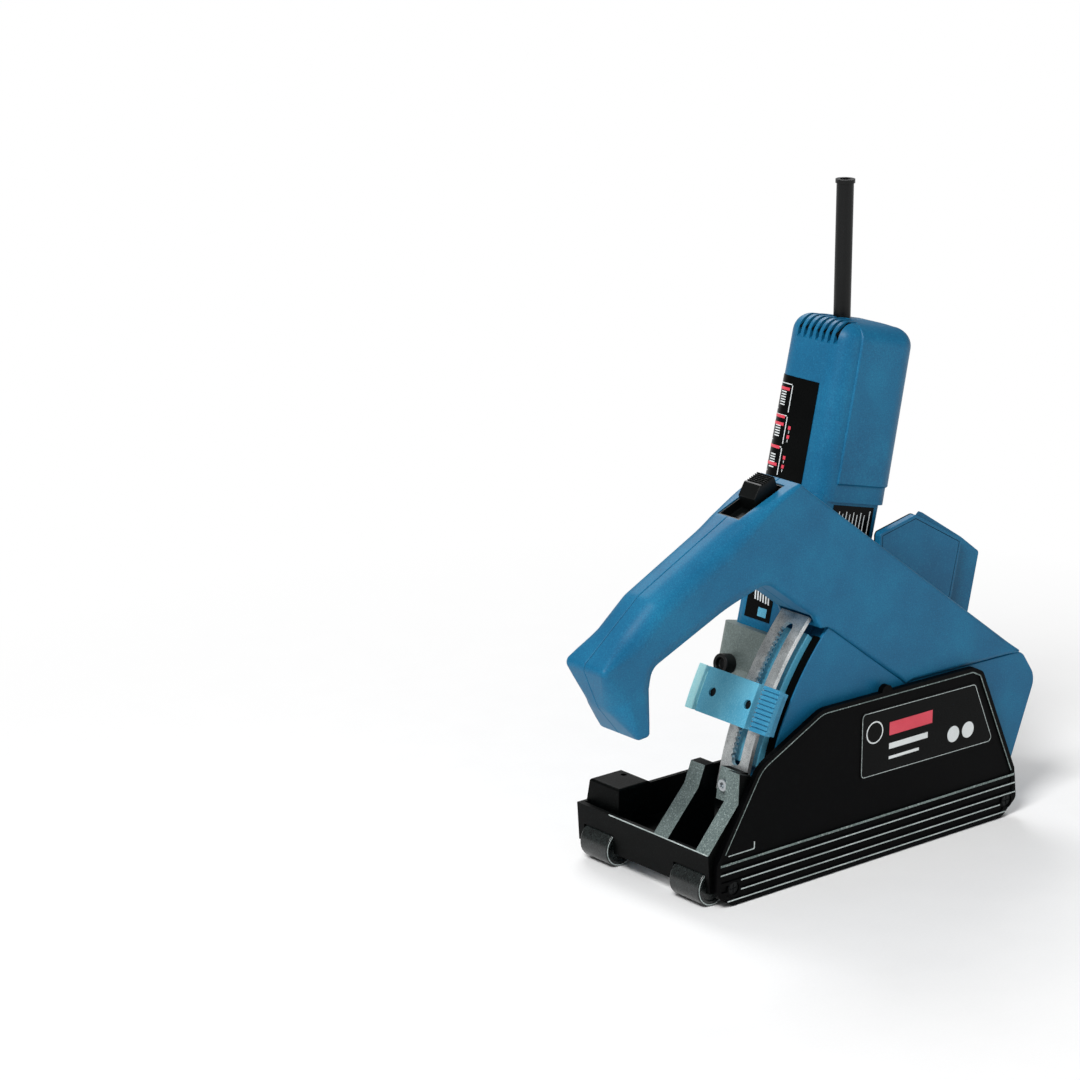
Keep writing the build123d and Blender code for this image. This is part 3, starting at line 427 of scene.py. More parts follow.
# %% Outlines and slabs
def rounded_loop(corners, spacing=1.5):
    """A closed outline in x, z from (x, z, radius) corners, anticlockwise.

    Each corner is an arc that touches its two sides at radius / tan(half the inner angle) from the corner."""
    corner = np.array([c[:2] for c in corners], float)
    radius = np.array([c[2] for c in corners], float)
    before, after = np.roll(corner, 1, 0) - corner, np.roll(corner, -1, 0) - corner
    before /= np.linalg.norm(before, axis=1)[:, None]
    after /= np.linalg.norm(after, axis=1)[:, None]
    half = np.arccos(np.clip((before * after).sum(1), -1, 1)) / 2
    runs = []
    for i in range(len(corner)):
        reach = radius[i] / np.tan(half[i])
        between = before[i] + after[i]
        middle = corner[i] + between / np.linalg.norm(between) * radius[i] / np.sin(half[i])
        from_x, from_z = corner[i] + before[i] * reach - middle
        to_x, to_z = corner[i] + after[i] * reach - middle
        start, end = np.arctan2(from_z, from_x), np.arctan2(to_z, to_x)
        sweep = (end - start + np.pi) % (2 * np.pi) - np.pi
        angle = start + sweep * np.linspace(0, 1, max(3, int(radius[i] * abs(sweep) / spacing) + 2))
        runs.append(middle + radius[i] * np.stack([np.cos(angle), np.sin(angle)], 1))
    dense = []
    for arc, following in zip(runs, runs[1:] + runs[:1]):
        run = following[0] - arc[-1]
        count = max(1, int(np.linalg.norm(run) / (4 * spacing)))
        dense += [arc, arc[-1] + run * (np.arange(1, count) / count)[:, None]]
    loop = np.concatenate(dense)
    x, z = loop.T
    area = (x * np.roll(z, -1) - np.roll(x, -1) * z).sum()
    return loop if area > 0 else loop[::-1]


def inward(loop):
    """The inward normal at each point of an anticlockwise outline."""
    along = np.roll(loop, -1, 0) - np.roll(loop, 1, 0)
    along /= np.linalg.norm(along, axis=1)[:, None]
    return np.stack([-along[:, 1], along[:, 0]], 1)


def slab_rings(loop, y0, y1, round0, round1, steps=7):
    """Rings of a slab from y0 to y1 with rounded edges.

    At angle t of an edge's quarter circle of radius r, the ring is pulled in by r * (1 - cos t) and lies
    r * (1 - sin t) inside the face. The radii may vary round the outline."""
    normal = inward(loop)
    quarter = np.linspace(np.pi / 2, 0, steps)
    rings = []
    for radius, face, direction, order in ((round0, y0, 1, quarter), (round1, y1, -1, quarter[::-1])):
        radius = np.broadcast_to(radius, len(loop))
        for t in order:
            pulled = loop + normal * (radius * (1 - np.cos(t)))[:, None]
            depth = face + direction * radius * (1 - np.sin(t))
            rings.append(np.stack([pulled[:, 0], depth, pulled[:, 1]], 1))
    return np.array(rings)


print("a square has", len(rounded_loop([(0, 0, 2), (20, 0, 2), (20, 20, 2), (0, 20, 2)])), "points")

# %% [markdown]
# Marks and edge highlights are thinner still. A mark is a flat shape pushed out by the thickness of the ink,
# and a painted edge highlight is a half-round bead that follows a path.


# %% Marks and beads
SUNK = 0.05                             # how far a bead's feet lie under its surface


def prism(base, push):
    """A flat ring of points and the same ring pushed along a vector."""
    base = np.asarray(base, float)
    return np.stack([base, base + np.asarray(push, float)])


def bead(path, out, width, height, points=7, closed=False):
    """A half-round bead along a path: width / 2 * cos t across it and height * sin t outwards."""
    path, out = np.asarray(path, float), np.asarray(out, float)
    if closed:
        along = np.roll(path, -1, 0) - np.roll(path, 1, 0)
    else:
        along = np.gradient(path, axis=0)
    side = np.cross(along, out)
    side /= np.linalg.norm(side, axis=1)[:, None]
    t = np.linspace(0, np.pi, points)
    across = side[:, None, :] * (np.cos(t) * width / 2)[None, :, None]
    return path[:, None, :] + across + (out * (np.sin(t) * height)[:, None])[None] - out * SUNK


print("a bead of 2 rings has", bead([(0, 0, 0), (1, 0, 0)], (0, 0, 1), 1, 1).size // 3, "points")

# %% [markdown]
# ## Ease the plain edges
# No real edge is perfectly sharp: paint builds up on it and a mould has a radius. The parts whose CAD
# shape is already right get a copy with every sharp edge bevelled by a fraction of a millimetre, which is
# what catches the light along it.


# %% Eased copies
def softened(node, width_mm, limit=30.0, finish=None):
    """A copy of a CAD node with eased edges: points merged, flat facets joined, sharp edges bevelled."""
    source = frame["nodes"][node]
    mesh = source.data.copy()
    work = bmesh.new()
    work.from_mesh(mesh)
    bmesh.ops.remove_doubles(work, verts=work.verts, dist=2e-6)
    bmesh.ops.dissolve_limit(work, angle_limit=radians(0.6), verts=work.verts, edges=work.edges)
    work.to_mesh(mesh)
    work.free()
    mesh.materials.clear()
    mesh.materials.append(finish or SLOT_FINISH[node_slot[node]])
    piece = bpy.data.objects.new(node + "_eased", mesh)
    bpy.context.scene.collection.objects.link(piece)
    bevel = piece.modifiers.new("eased edges", "BEVEL")
    bevel.width, bevel.segments, bevel.limit_method = width_mm / 1000, 3, "ANGLE"
    bevel.angle_limit = radians(limit)
    smooth_shading(piece, limit)
    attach(piece, source["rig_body"])
    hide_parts(node)
    return piece


EASED = {
    "shoe_frame": 0.8, "side_plate": 0.5, "hood_near_shell": 1.2, "hood_far_shell": 1.2, "guide_rail": 0.7,
    "duct_shell": 2.2, "duct_cover": 1.8, "depth_strip": 0.3, "stop_block": 0.5, "gear_case": 1.2,
    "bearing_cover": 0.8, "motor_housing": 0.6, "switch_frame": 0.3, "slide_switch": 0.4, "stop_buffer": 0.7,
    "spindle_lock": 0.6, "clamping_nut": 0.5, "strip_bolt": 0.3, "plate_screws": 0.2,
}
for node, width in EASED.items():
    made = softened(node, width)
    print(node, len(made.data.polygons), "faces")
# The ribbed grip takes painted shade and the end a painted highlight: darker and paler copies of the coat.
softened("release_grip", 0.3, finish=powder_painted_shade)
softened("stop_end", 0.5, finish=powder_painted_highlight)
softened("stop_screws", 0.15, finish=black_steel)

# %% [markdown]
# ## Where the shoe is lighter
# The black paint is a lighter grey on the faces that lean forward and up: the fronts of the two gussets
# and the seat of the strip. Those faces are found by their normal and their height, and take a second
# finish.

# %% Lighter faces of the shoe
BY_STRIP = 60.0                         # the gussets and the strip's seat lie nearer than this Y
FRONTS = (8.0, 40.0, 39.0)              # X from, X to, Z from
SLOPES = (30.0, 38.0)                   # X to, Z from
shoe = bpy.data.objects["shoe_frame_eased"]
shoe.data.materials.append(paint_lighter_grey)
count = len(shoe.data.polygons)
normals, centres = np.empty(count * 3), np.empty(count * 3)
shoe.data.polygons.foreach_get("normal", normals)
shoe.data.polygons.foreach_get("center", centres)
across, up = normals.reshape(-1, 3)[:, 1:].T
x, y, z = (centres.reshape(-1, 3) * 1000 - SHIFT).T
near = (normals.reshape(-1, 3)[:, 0] < -0.3) & (y < BY_STRIP)
fronts = near & (x > FRONTS[0]) & (x < FRONTS[1]) & (z > FRONTS[2]) & (np.abs(across) < 0.2)
slopes = near & (x < SLOPES[0]) & (z > SLOPES[1]) & (up > 0.3)
lighter = fronts | slopes
shoe.data.polygons.foreach_set("material_index", lighter.astype(np.int32))
print("rubbed faces", int(lighter.sum()))

# %% [markdown]
# Edges that stand proud catch the light: the lip of the front wall, the crests of the side plate's ribs and
# the rim round the plate. A thin half-round bead on each of them carries a painted highlight.

# %% Painted highlights on the shoe's edges
FRONT_LIP = ((-3.75, 3.5, 37.2), (-3.75, 99.0, 37.2))
lip = bead(np.linspace(*FRONT_LIP, 30), (-0.3, 0.0, 0.95), 0.9, 0.35)
piece_from("lip_highlight", [lip], highlight_and_silver, "base")
RIB_LEVELS = ((29.4, 1.5, 3.2, 273.2), (23.2, 0.9, 3.2, 274.0), (16.5, 0.9, 21.0, 274.6),
              (10.2, 0.9, 21.0, 260.0), (4.2, 0.9, 9.5, 266.0))
crests = [bead(np.linspace((x0, -1.2, z), (x1, -1.2, z), 40), (0.0, -1.0, 0.0), width, 0.25)
          for z, width, x0, x1 in RIB_LEVELS]
# The top rib's crest and the plate's rim take a greyer painted highlight, the other crests a brighter one.
piece_from("rib_crests", crests[:1], grey_highlight, "base")
piece_from("rib_edges", crests[1:], highlight_and_silver, "base")
# The raised L-shaped moulding on the plate carries a painted highlight along it.
PLATE_MARK = rounded_loop([(10.5, 34.2, 0.3), (33.2, 34.2, 1.0), (33.2, 39.4, 0.3), (32.6, 39.4, 0.3),
                           (32.6, 34.8, 0.5), (10.5, 34.8, 0.25)])
mark = np.insert(PLATE_MARK, 1, 0.0, axis=1)
piece_from("plate_moulding", [prism(mark, (0.0, -0.35, 0.0))], highlight_and_silver, "base")
PLATE = [(0.5, 9.0, 8), (14.0, 0.7, 1), (262.0, 0.7, 9), (275.8, 12.0, 5), (273.4, 34.0, 2),
         (239.0, 110.0, 6), (230.0, 114.6, 6), (90.0, 115.6, 22), (36.0, 89.0, 26), (0.5, 31.5, 4)]
plate_loop = rounded_loop(PLATE)
rim = plate_loop + inward(plate_loop) * 3.3
rim = rim[rim[:, 1] > 32.0]
rim = rim[np.argsort(-np.arctan2(rim[:, 1] - 32.0, rim[:, 0] - 140.0))]
rim = np.insert(rim, 1, -0.95, axis=1)
piece_from("rim_highlight", [bead(rim, (0.0, -1.0, 0.0), 0.8, 0.2)], grey_highlight, "base")
print("edge highlights", len(crests) + 3)

# %% [markdown]
# ## The name plate
# A foil plate sits in a shallow seat on the side plate. It has a silver line round it and plain marks: a
# red bar, two white bars, a white ring and two white discs.


# %% Name plate marks
PLATE_FACE, PLATE_INK = -0.4, 0.08      # Y of the foil's face and thickness of its ink


def tile(x0, x1, z0, z1):
    """A flat mark on the name plate, which looks to the near side."""
    corners = [(x0, z0), (x1, z0), (x1, z1), (x0, z1)]
    return prism([(x, PLATE_FACE, z) for x, z in corners], (0.0, -PLATE_INK, 0.0))


def plate_circle(x, z, radius):
    """60 points of a circle on the name plate."""
    turn = np.linspace(0, 2 * np.pi, 60, endpoint=False)
    return np.stack([x + radius * np.cos(turn), np.full(60, PLATE_FACE), z + radius * np.sin(turn)], 1)


NAME_PLATE = rounded_loop([(126.0, 58.5, 4), (252.6, 57.4, 4), (233.0, 103.2, 4), (126.0, 104.4, 4)])
border = NAME_PLATE + inward(NAME_PLATE) * 1.2
border = np.insert(border, 1, PLATE_FACE, axis=1)
piece_from("name_plate_border", [bead(border, (0.0, -1.0, 0.0), 0.5, 0.12, closed=True)], highlight_and_silver,
           "base", closed=True)
piece_from("name_plate_red", [tile(152.0, 192.0, 84.0, 93.0)], ink_red, "base")
piece_from("name_plate_white", [tile(152.0, 188.0, 74.5, 78.5), tile(152.0, 180.0, 67.5, 69.5)], ink_white,
           "base")
ring = plate_circle(138.5, 89.0, 7.2)
piece_from("name_plate_ring", [bead(ring, (0.0, -1.0, 0.0), 1.1, 0.12, closed=True)], ink_white,
           "base", closed=True)
discs = [prism(plate_circle(x, 71.5, 5.6), (0, -PLATE_INK, 0)) for x in (212.5, 226.5)]
piece_from("name_plate_discs", discs, ink_white, "base")
print("name plate", border.shape[0], "points round")

# %% [markdown]
# ## Rollers
# The nylon rollers stand proud of the front wall. Each has an eased rim at its ends, and a bright ring on
# the rim is a painted highlight.

# %% Roller rings
ROLLER_R, RING_IN = 12.5, 1.0           # the roller's radius, and the ring's distance inside it
made_rings = 0
for name, node in frame["nodes"].items():
    if not name.startswith("roller_"):
        continue
    softened(name, 0.3)
    low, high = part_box(name)
    middle = (np.array(low) + np.array(high)) * 500 - SHIFT
    turn = np.linspace(0, 2 * np.pi, 72, endpoint=False)
    rings = []
    for y, outward in ((low[1] * 1000 - SHIFT[1], -1.0), (high[1] * 1000 - SHIFT[1], 1.0)):
        circle = np.stack([middle[0] + (ROLLER_R - RING_IN) * np.cos(turn), np.full(72, y),
                           middle[2] + (ROLLER_R - RING_IN) * np.sin(turn)], 1)
        # The bright ring at each end is a painted highlight on the roller's rim.
        rings.append(bead(circle, (0.0, outward, 0.0), 0.7, 0.15, closed=True))
    piece_from(name + "_rings", rings, highlight_and_silver, name, closed=True)
    made_rings += len(rings)
print("roller rings", made_rings)

# %% [markdown]
# ## The handle
# The grip and the body of the handle are one moulding in two halves, joined along the middle by a seam.
# The edges are not rounded evenly: the grip is as round as a hand wants it, while the slope behind the
# apex keeps a crisp edge. So the edge radius is a value at each point of the outline.

# %% Handle outline
HANDLE = [(72.0, 267.0, 2.5), (283.0, 113.2, 1), (171.8, 114.3, 1), (99.3, 167.6, 1), (93.0, 167.5, 2),
          (88.0, 176.0, 5), (47.0, 206.0, 12), (-44.0, 166.5, 7), (-51.5, 127.0, 3), (-60.0, 125.5, 4),
          (-78.0, 147.0, 30), (-90.5, 175.5, 5), (-46.5, 212.0, 20), (26.0, 249.0, 20)]
HANDLE_NEAR, HANDLE_FAR, SEAM_Y = 5.0, 43.0, 24.0
BODY_ROUND, GRIP_ROUND, SEAM_ROUND = 3.2, 13.5, 0.8
handle_loop = rounded_loop(HANDLE)


def smooth_step(t):
    """3t^2 - 2t^3: from 0 to 1, level at both ends."""
    return t * t * (3 - 2 * t)


def edge_round(loop, corners, body, grip):
    """Edge radius round an outline: the grip's radius where x is under 10 mm and the body's where x is over
    60 mm, with a smooth step 3t^2 - 2t^3 between. Near a tight corner it is held to that corner's own radius,
    and grows away from it by a share of the distance."""
    t = np.clip((60 - loop[:, 0]) / 50, 0, 1)
    wanted = body + (grip - body) * smooth_step(t)
    for (x, z, radius), share in corners:
        distance = np.hypot(loop[:, 0] - x, loop[:, 1] - z)
        wanted = np.minimum(wanted, radius * 0.8 + share * np.clip(distance - radius, 0, None))
    return wanted


OUTER_CORNERS = [(HANDLE[i], 0.42) for i in (0, 2, 3, 4, 8, 9, 11)] + [(HANDLE[1], 0.2)]
near_round = edge_round(handle_loop, OUTER_CORNERS, BODY_ROUND, GRIP_ROUND)
print("edge radius", near_round.min().round(2), "to", near_round.max().round(2))

# %% [markdown]
# The two halves need a pocket for the top of the depth strip, which the handle slides over as the tool
# plunges, and a recess for the switch. Both are cut out of the finished halves, so that nothing sits
# inside anything else.


# %% Handle halves
def cut_with(piece, stacks):
    """Takes stacks of rings out of a piece, and leaves the piece with a plain mesh."""
    cutter = piece_from("cutter", stacks, shadow_gap, None)
    cutter.modifiers.clear()
    piece.modifiers.clear()
    cut = piece.modifiers.new("cut", "BOOLEAN")
    cut.operation, cut.solver, cut.object = "DIFFERENCE", "EXACT", cutter
    bpy.context.view_layer.update()
    evaluated = piece.evaluated_get(bpy.context.evaluated_depsgraph_get())
    mesh = bpy.data.meshes.new_from_object(evaluated)
    piece.modifiers.clear()
    piece.data = mesh
    bpy.data.objects.remove(cutter)
    smooth_shading(piece, 40.0)


def ring_sector(r0, r1, a0, a1, y0, y1, steps=24):
    """A rectangle between two radii and two sides, carried round the pivot from one angle to another."""
    angle = np.linspace(a0, a1, steps)
    return np.stack([on_strip(r, angle, y) for r, y in ((r0, y0), (r1, y0), (r1, y1), (r0, y1))], 1)


SWITCH_ORIGIN, SWITCH_SLOPE = np.array([50.0, SEAM_Y, 258.4]), np.arctan2(18.0, 46.0)


def on_switch(x, y, z):
    """Switch millimetres (x up the handle's top line, z out of it) to drawing millimetres."""
    x, y, z = np.broadcast_arrays(x, y, z)
    along = np.stack([x * np.cos(SWITCH_SLOPE) - z * np.sin(SWITCH_SLOPE), y,
                      x * np.sin(SWITCH_SLOPE) + z * np.cos(SWITCH_SLOPE)], -1)
    return along + SWITCH_ORIGIN


POCKET_R, POCKET_ANGLE, POCKET_Y = (204.0, 212.0), (38, 58), (10.0, 39.0)
WELL_BACK, WELL_FRONT, WELL_SIDE, WELL_FLOOR, WELL_TOP = -24, 18, 10, -26.5, 20.0
pocket = ring_sector(*POCKET_R, *POCKET_ANGLE, *POCKET_Y)
switch_well = on_switch(np.array([WELL_BACK, WELL_FRONT, WELL_FRONT, WELL_BACK]),
                        np.array([-WELL_SIDE, -WELL_SIDE, WELL_SIDE, WELL_SIDE]),
                        np.array([[WELL_FLOOR], [WELL_TOP]]))
halves = {"near": (HANDLE_NEAR, SEAM_Y, near_round, SEAM_ROUND),
          "far": (SEAM_Y, HANDLE_FAR, SEAM_ROUND, near_round)}
for side, (y0, y1, round0, round1) in halves.items():
    shell = piece_from(f"handle_{side}", [slab_rings(handle_loop, y0, y1, round0, round1)], nylon_blue,
                       "hood", [f"handle_{side}_shell"])
    cut_with(shell, [pocket])
    cut_with(shell, [switch_well])
    print(shell.name, len(shell.data.polygons), "faces")
# A dark slab a little under the seam's groove is painted shade along the seam.
seam_loop = handle_loop + inward(handle_loop) * 0.4
seam_rings = slab_rings(seam_loop, SEAM_Y - 0.4, SEAM_Y + 0.4, 0.05, 0.05, steps=2)
seam = piece_from("handle_seam", [seam_rings], shadow_gap, "hood")
cut_with(seam, [pocket])
cut_with(seam, [switch_well])

# %% [markdown]
# ## The rear motor housing
# This is a moulded cap: a rounded rectangle that narrows slightly towards a domed top. Its side is a
# raised panel that starts at a crease on the front corner and ends in a line above the collar. Seven
# cooling slots wrap over the front edge of the top.

# %% One ring of the rear housing
# Front, back and half width at the two ends.
REAR_LOW, REAR_HIGH = (-27.8, 41.3, 30.0), (-29.2, 38.5, 29.0)
REAR_Z = (168.0, 286.0)
CORNER, DOME, PANEL, PANEL_Z, PANEL_STEP = 14.0, 12.5, 1.3, 180.0, 0.8


def rear_side(z):
    """Front, back and half width of the housing at height z: straight lines between its two ends."""
    t = (np.asarray(z, float) - REAR_Z[0]) / (REAR_Z[1] - REAR_Z[0])
    return [low + (high - low) * t for low, high in zip(REAR_LOW, REAR_HIGH)]


def rear_ring(z, inset, rise, panel):
    """A rounded rectangle at height z, pulled in by inset and lifted by rise.

    The corners' radius shrinks with the inset. The side that looks near, the back corner and the back are
    pushed out by the panel's height, with a smooth step over 0.8 mm from the crease."""
    front, back, half = rear_side(z)
    radius = max(CORNER - inset, 1.5)
    x0, x1, w = front + inset, back - inset, half - inset
    step = np.concatenate([np.linspace(0, 1.6, 8), np.linspace(3.0, x1 - x0 - 2 * radius, 16)])
    arc = np.linspace(0, np.pi / 2, 9)[1:-1]
    near = np.stack([x0 + radius + step, np.full(len(step), -w)], 1)
    near_back = np.stack([x1 - radius + radius * np.sin(arc), -w + radius - radius * np.cos(arc)], 1)
    up = np.linspace(-w + radius, w - radius, 16)
    rear = np.stack([np.full(len(up), x1), up], 1)
    far_back = np.stack([x1 - radius + radius * np.cos(arc), w - radius + radius * np.sin(arc)], 1)
    far = np.stack([x1 - radius - step, np.full(len(step), w)], 1)
    far_front = np.stack([x0 + radius - radius * np.sin(arc), w - radius + radius * np.cos(arc)], 1)
    front_face = np.stack([np.full(len(up), x0), up[::-1]], 1)
    near_front = np.stack([x0 + radius - radius * np.cos(arc), -w + radius - radius * np.sin(arc)], 1)
    ring = np.concatenate([near, near_back, rear, far_back, far, far_front, front_face, near_front])
    to_side, to_near_back, to_rear, to_far_back = np.cumsum([len(step), len(arc), len(up), len(arc)])
    lift = np.zeros(len(ring))
    lift[:to_side] = smooth_step(np.clip(step / PANEL_STEP, 0, 1))
    lift[to_side:to_rear] = 1.0
    lift[to_rear:to_far_back] = smooth_step(np.linspace(1, 0, len(arc)))
    out = np.zeros_like(ring)
    out[:to_side, 1] = -1.0
    out[to_side:to_near_back] = np.stack([np.sin(arc), -np.cos(arc)], 1)
    out[to_near_back:to_rear, 0] = 1.0
    out[to_rear:to_far_back] = np.stack([np.cos(arc), np.sin(arc)], 1)
    ring = ring + out * (lift * panel)[:, None]
    return along_motor(np.stack([ring[:, 0], MOTOR_Y + ring[:, 1], np.full(len(ring), z + rise)], 1))


print("points in a ring", len(rear_ring(REAR_Z[0], 0.0, 0.0, 0.0)))

# %% [markdown]
# The rings climb the side, cross the panel's line with a smooth step, and close over the top in a quarter
# circle and a shallow crown.

# %% Rear housing shell
CROWN_IN, CROWN_UP = 12.0, 1.2
heights = np.concatenate([np.linspace(REAR_Z[0], PANEL_Z - 1.2, 6),
                          np.linspace(PANEL_Z - PANEL_STEP, PANEL_Z + PANEL_STEP, 7),
                          np.linspace(PANEL_Z + 3, REAR_Z[1] - DOME, 30)])
rings = []
for z in heights:
    t = np.clip((z - PANEL_Z + PANEL_STEP) / (2 * PANEL_STEP), 0, 1)
    rings.append(rear_ring(z, 0.0, 0.0, PANEL * smooth_step(t)))
for t in np.linspace(0, np.pi / 2, 10)[1:]:
    rings.append(rear_ring(REAR_Z[1] - DOME, DOME * (1 - np.cos(t)), DOME * np.sin(t), PANEL * np.cos(t)))
for t in np.linspace(0, 1, 5)[1:]:
    rings.append(rear_ring(REAR_Z[1] - DOME, DOME + CROWN_IN * t, DOME + CROWN_UP * (1 - (1 - t) ** 2), 0.0))
rear = piece_from("rear_shell", [np.array(rings)], nylon_blue, "hood", ["rear_housing"])
print("rear shell", len(rear.data.polygons), "faces")

# %% [markdown]
# The cooling slots lean back over the front edge of the top. A dark slab a little way inside each of them
# is painted shade in the slot.

# %% Cooling slots
VENTS, VENT_PITCH, VENT_FIRST = 7, 5.6, 19
VENT_X, VENT_DOWN, VENT_LEAN = -24.0, 2.5, radians(42)


def vent_bar(i, half, low, high, reaches):
    """A leaning bar through slot i. At reach r along it, its section (u, v) lies at x = VENT_X + r cos a
    - v sin a, y = the slot's middle + u and z = the top - VENT_DOWN + r sin a + v cos a."""
    y = MOTOR_Y - VENT_FIRST + VENT_PITCH * i
    section = [(-half, low), (half, low), (half, high), (-half, high)]
    ends = [[(VENT_X + r * cos(VENT_LEAN) - v * sin(VENT_LEAN), y + u,
              REAR_Z[1] - VENT_DOWN + r * sin(VENT_LEAN) + v * cos(VENT_LEAN)) for u, v in section]
            for r in reaches]
    return along_motor(np.array(ends))


slots = [vent_bar(i, 1.4, -7, 7, (-13.0, 13.0)) for i in range(VENTS)]
cut_with(rear, slots)
# The dark slabs are painted shade deep in the slots.
slot_shades = [vent_bar(i, 1.35, -6.9, -2.2, (-8.0, 5.0)) for i in range(VENTS)]
piece_from("vent_shade", slot_shades, shadow_gap, "hood")
print("rear shell", len(rear.data.polygons), "faces", len(slots), "slots")

# %% [markdown]
# ## Labels
# The scale label is a black foil that bends round the housing's front corner. It and its marks are tiles
# laid on the housing's own surface: each tile is a rectangle in (distance round, height), lifted off the
# surface by the thickness of the foil or the ink.


# %% Labels on the motor
def on_front(t, z, lift):
    """A point on the housing's front: t runs across it like y, then round the far corner's arc."""
    front, _, half = rear_side(z)
    edge = MOTOR_Y + half - CORNER
    over = np.clip(t - edge, 0, None) / CORNER
    flat = np.minimum(t, edge)
    x = front + CORNER - (CORNER + lift) * np.cos(over)
    y = flat + (CORNER + lift) * np.sin(over)
    return along_motor(np.stack([x, y, np.broadcast_to(z, np.shape(x))], -1))


def front_tile(t0, t1, z0, z1, low, high):
    """A thin tile on the housing's front, bent with it: 4 points in section, one section each 1.5 mm."""
    t = np.linspace(t0, t1, max(2, int((t1 - t0) / 1.5) + 1))
    corners = ((z0, low), (z1, low), (z1, high), (z0, high))
    return np.stack([on_front(t, np.full(len(t), z), lift) for z, lift in corners], 1)


FOIL, INK, BAR_INK = 0.4, 0.1, 0.12     # the foil's face over the housing, and the ink's thickness on it
piece_from("scale_foil", [front_tile(78.0, 122.0, 171.0, 243.0, 0.02, FOIL)], foil_black,
           "hood", ["scale_label"])
white, red = [], []
for base, bars in ((226.0, (7.0,)), (205.0, (9.5, 4.5)), (184.0, (10.0, -1.5))):
    white.append(front_tile(102.0, 117.0, base + 11.2, base + 11.8, FOIL, FOIL + INK))
    white.append(front_tile(101.0, 101.7, base - 7.0, base + 11.0, FOIL, FOIL + INK))
    for z in base - 3.0 + 1.7 * np.arange(6):
        white.append(front_tile(106.0, 111.5, z, z + 0.8, FOIL, FOIL + INK))
    white.append(front_tile(113.0, 117.5, base - 6.0, base - 5.4, FOIL, FOIL + INK))
    for z in base + np.array(bars):
        red.append(front_tile(103.5, 116.5, z, z + 2.0, FOIL, FOIL + BAR_INK))
for z in (208.0, 202.0, 188.0, 182.0):
    red.append(front_tile(96.5, 98.8, z, z + 2.4, FOIL, FOIL + INK))
    white.append(front_tile(97.4, 97.9, z - 2.4, z - 0.6, FOIL, FOIL + INK))
piece_from("scale_white", white, ink_white, "hood")
piece_from("scale_red", red, ink_red, "hood")
print("marks", len(white), "white", len(red), "red")

# %% [markdown]
# The rating label on the barrel's side carries a row of upright ticks, and the flange in front of it has
# slanted stripes and a blue square. They are plain marks that stand in for the printing.


# %% Rating label and flange marks
def side_tile(x0, x1, z0, z1):
    """A flat mark on the barrel's near side, in motor millimetres."""
    base = np.array([(x0, RATING_Y, z0), (x1, RATING_Y, z0), (x1, RATING_Y, z1), (x0, RATING_Y, z1)])
    return along_motor(np.stack([base, base + (0.0, -INK, 0.0)]))


def flange_tile(outline):
    """A flat mark on the flange's front: (y, z) corners, pushed forward by the ink's thickness."""
    base = np.insert(np.array(outline, float), 0, FLANGE_X, axis=1)
    return along_motor(np.stack([base, base + (-INK, 0.0, 0.0)]))


RATING_Y, FLANGE_X = MOTOR_Y - 29.0 - FOIL, -27.5 - FOIL
ticks = [side_tile(-6.0 + 3.4 * i, -5.4 + 3.4 * i, 143.0 + 2.5 * (i % 3), 162.0 - 1.5 * (i % 2))
         for i in range(8)]
ticks.append(side_tile(22.6, 23.3, 141.0, 163.5))
piece_from("rating_marks", ticks, ink_white, "hood")
stripes = []
for i in range(6):
    y, z = 87.0 + 2.6 * i, 91.5 + 0.3 * i
    stripes.append(flange_tile([(y, z), (y + 1.2, z), (y + 2.2, z + 6), (y + 1.0, z + 6)]))
piece_from("flange_stripes", stripes, ink_white, "hood")
square = flange_tile([(88.0, 82.5), (96.0, 82.5), (96.0, 88.5), (88.0, 88.5)])
piece_from("flange_mark", [square], powder_blue, "hood")
print("ticks", len(ticks), "stripes", len(stripes))

# %% [markdown]
# ## Screw ribs
# The long screws that hold the motor run down inside the corners of the barrel, close under its skin. A
# low half-round rib over each lower corner gives the screw its wall.

# %% Screw ribs
BARREL_X, BARREL_HALF, BARREL_CORNER = (-27.5, 36.0), 29.0, 10.0
ribs = []
for x, toward_x in ((BARREL_X[0], -1), (BARREL_X[1], 1)):
    for toward_y in (-1, 1):
        out = np.array([toward_x, toward_y, 0.0]) / np.sqrt(2)
        middle = np.array([x - toward_x * BARREL_CORNER,
                           MOTOR_Y + toward_y * (BARREL_HALF - BARREL_CORNER), 0.0])
        path = middle + out * (BARREL_CORNER - 0.4) + np.linspace([0, 0, 73.8], [0, 0, 102.0], 12)
        turned = along_motor(np.stack([path[0], path[0] + out]))
        ribs.append(bead(along_motor(path), turned[1] - turned[0], 6.0, 1.0))
piece_from("screw_ribs", ribs, nylon_blue, "hood")
print("screw ribs", len(ribs))

# %% [markdown]
# ## The duct's joint
# The cover meets the duct shell on a flat joint with a thin black gasket, which shows as a fine line
# round the cover.

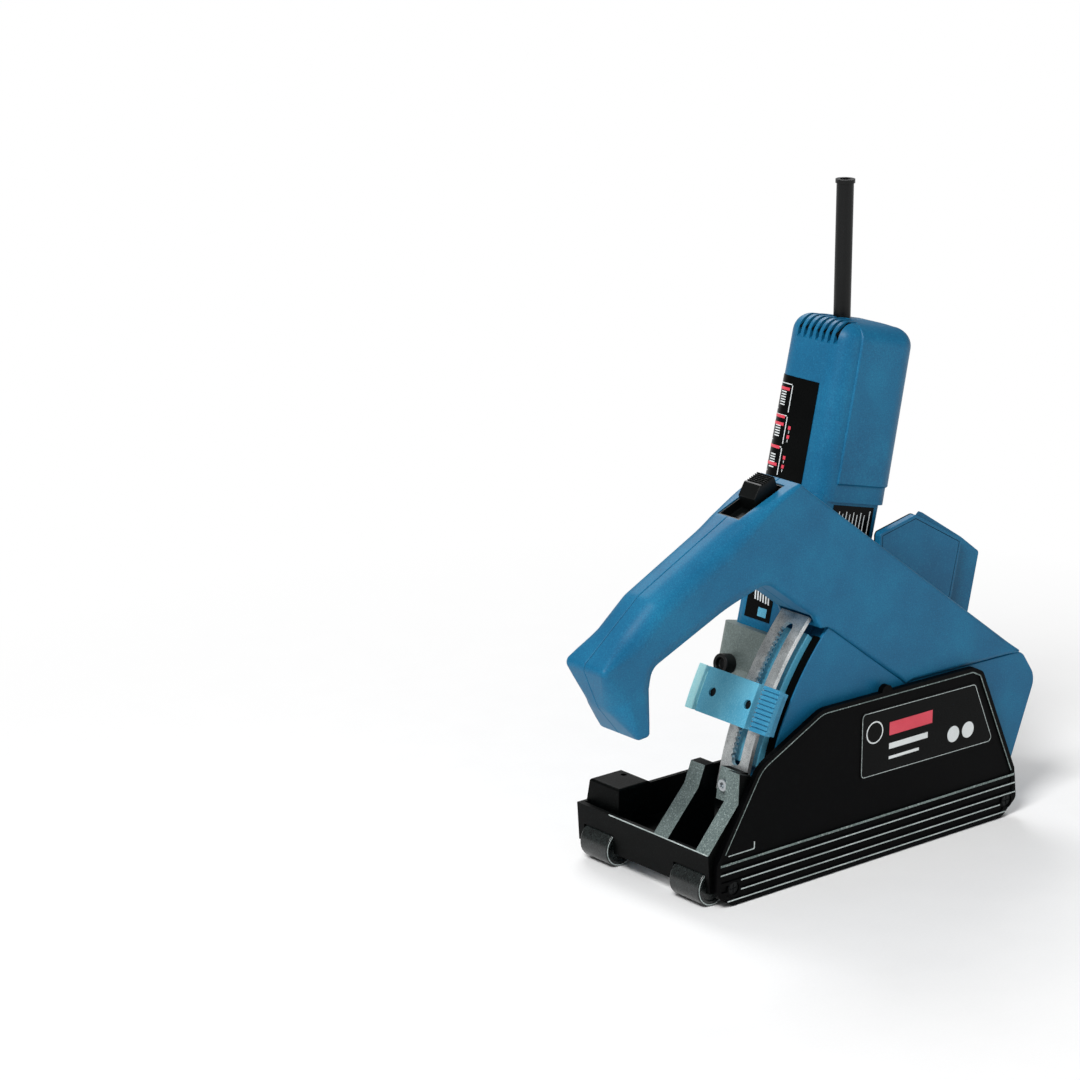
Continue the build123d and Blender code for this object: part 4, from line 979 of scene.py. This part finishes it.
# %% Duct gasket
DUCT_COVER = [(186.0, 204.5, 3), (219.5, 211.5, 4), (264.5, 186.5, 2), (256.0, 148.0, 2), (240.0, 120.0, 1),
              (186.0, 150.0, 1)]
cover_loop = rounded_loop(DUCT_COVER)
gasket = slab_rings(cover_loop - inward(cover_loop) * 0.25, 51.2, 52.2, 0.1, 0.1, steps=2)
piece_from("duct_gasket", [gasket], shadow_gap, "hood")
line = np.insert(cover_loop + inward(cover_loop) * 2.3, 1, 46.5, axis=1)
piece_from("duct_joint", [bead(line, (0.0, -1.0, 0.0), 0.8, 0.06, closed=True)], shadow_gap,
           "hood", closed=True)
print("gasket", gasket.shape)

# %% [markdown]
# ## The shade beside the guide rail
# A dark band beside the guide rail on the hood's front edge is painted shade in the gap between the rail
# and the hood. It is a thin band round the pivot, just proud of the shell.

# %% Painted shade beside the rail
rail_shade = ring_sector(194.6, 195.5, 15.5, 42.0, 7.6, 13.6, steps=40)
piece_from("rail_gap_shade", [rail_shade], shadow_gap, "hood")
print("rail shade", rail_shade.shape)

# %% [markdown]
# ## The floor
# The floor is a plain pale sheet that stays out of the model. It glows more with distance, as a lit sweep
# does, so that it meets the white room without a horizon.

# %% Floor and the end
REACH, GLOW_FROM, GLOW_FULL = 30.0, 0.22, 0.75
floor = bpy.data.objects.new("floor", bpy.data.meshes.new("floor"))
floor.data.from_pydata([(-REACH, -REACH, 0), (REACH, -REACH, 0), (REACH, REACH, 0), (-REACH, REACH, 0)], [],
                       [(0, 1, 2, 3)])
paper = surface("pale paper sweep", ("#F6F6F6", "#F8F8F8", "#FAFAFA"), (0.8, 0.9), 2.0, 0.005, specular=0.1)
distance = add(paper, "VectorMath", {"operation": "LENGTH"}, _0=add(paper, "TexCoord").outputs["Object"])
share = add(paper, "MapRange", {"From Min": GLOW_FROM, "From Max": GLOW_FULL},
            Value=distance.outputs["Value"])
glow = add(paper, "Emission", {"Color": (1, 1, 1, 1)})
lit = [node for node in paper.node_tree.nodes if node.type == "BSDF_PRINCIPLED"][0]
end = [node for node in paper.node_tree.nodes if node.type == "OUTPUT_MATERIAL"][0]
mixed = add(paper, "MixShader", {}, _0=share.outputs[0], _1=lit.outputs[0], _2=glow.outputs[0])
paper.node_tree.links.new(mixed.outputs[0], end.inputs["Surface"])
floor.data.materials.append(paper)
bpy.context.scene.collection.objects.link(floor)
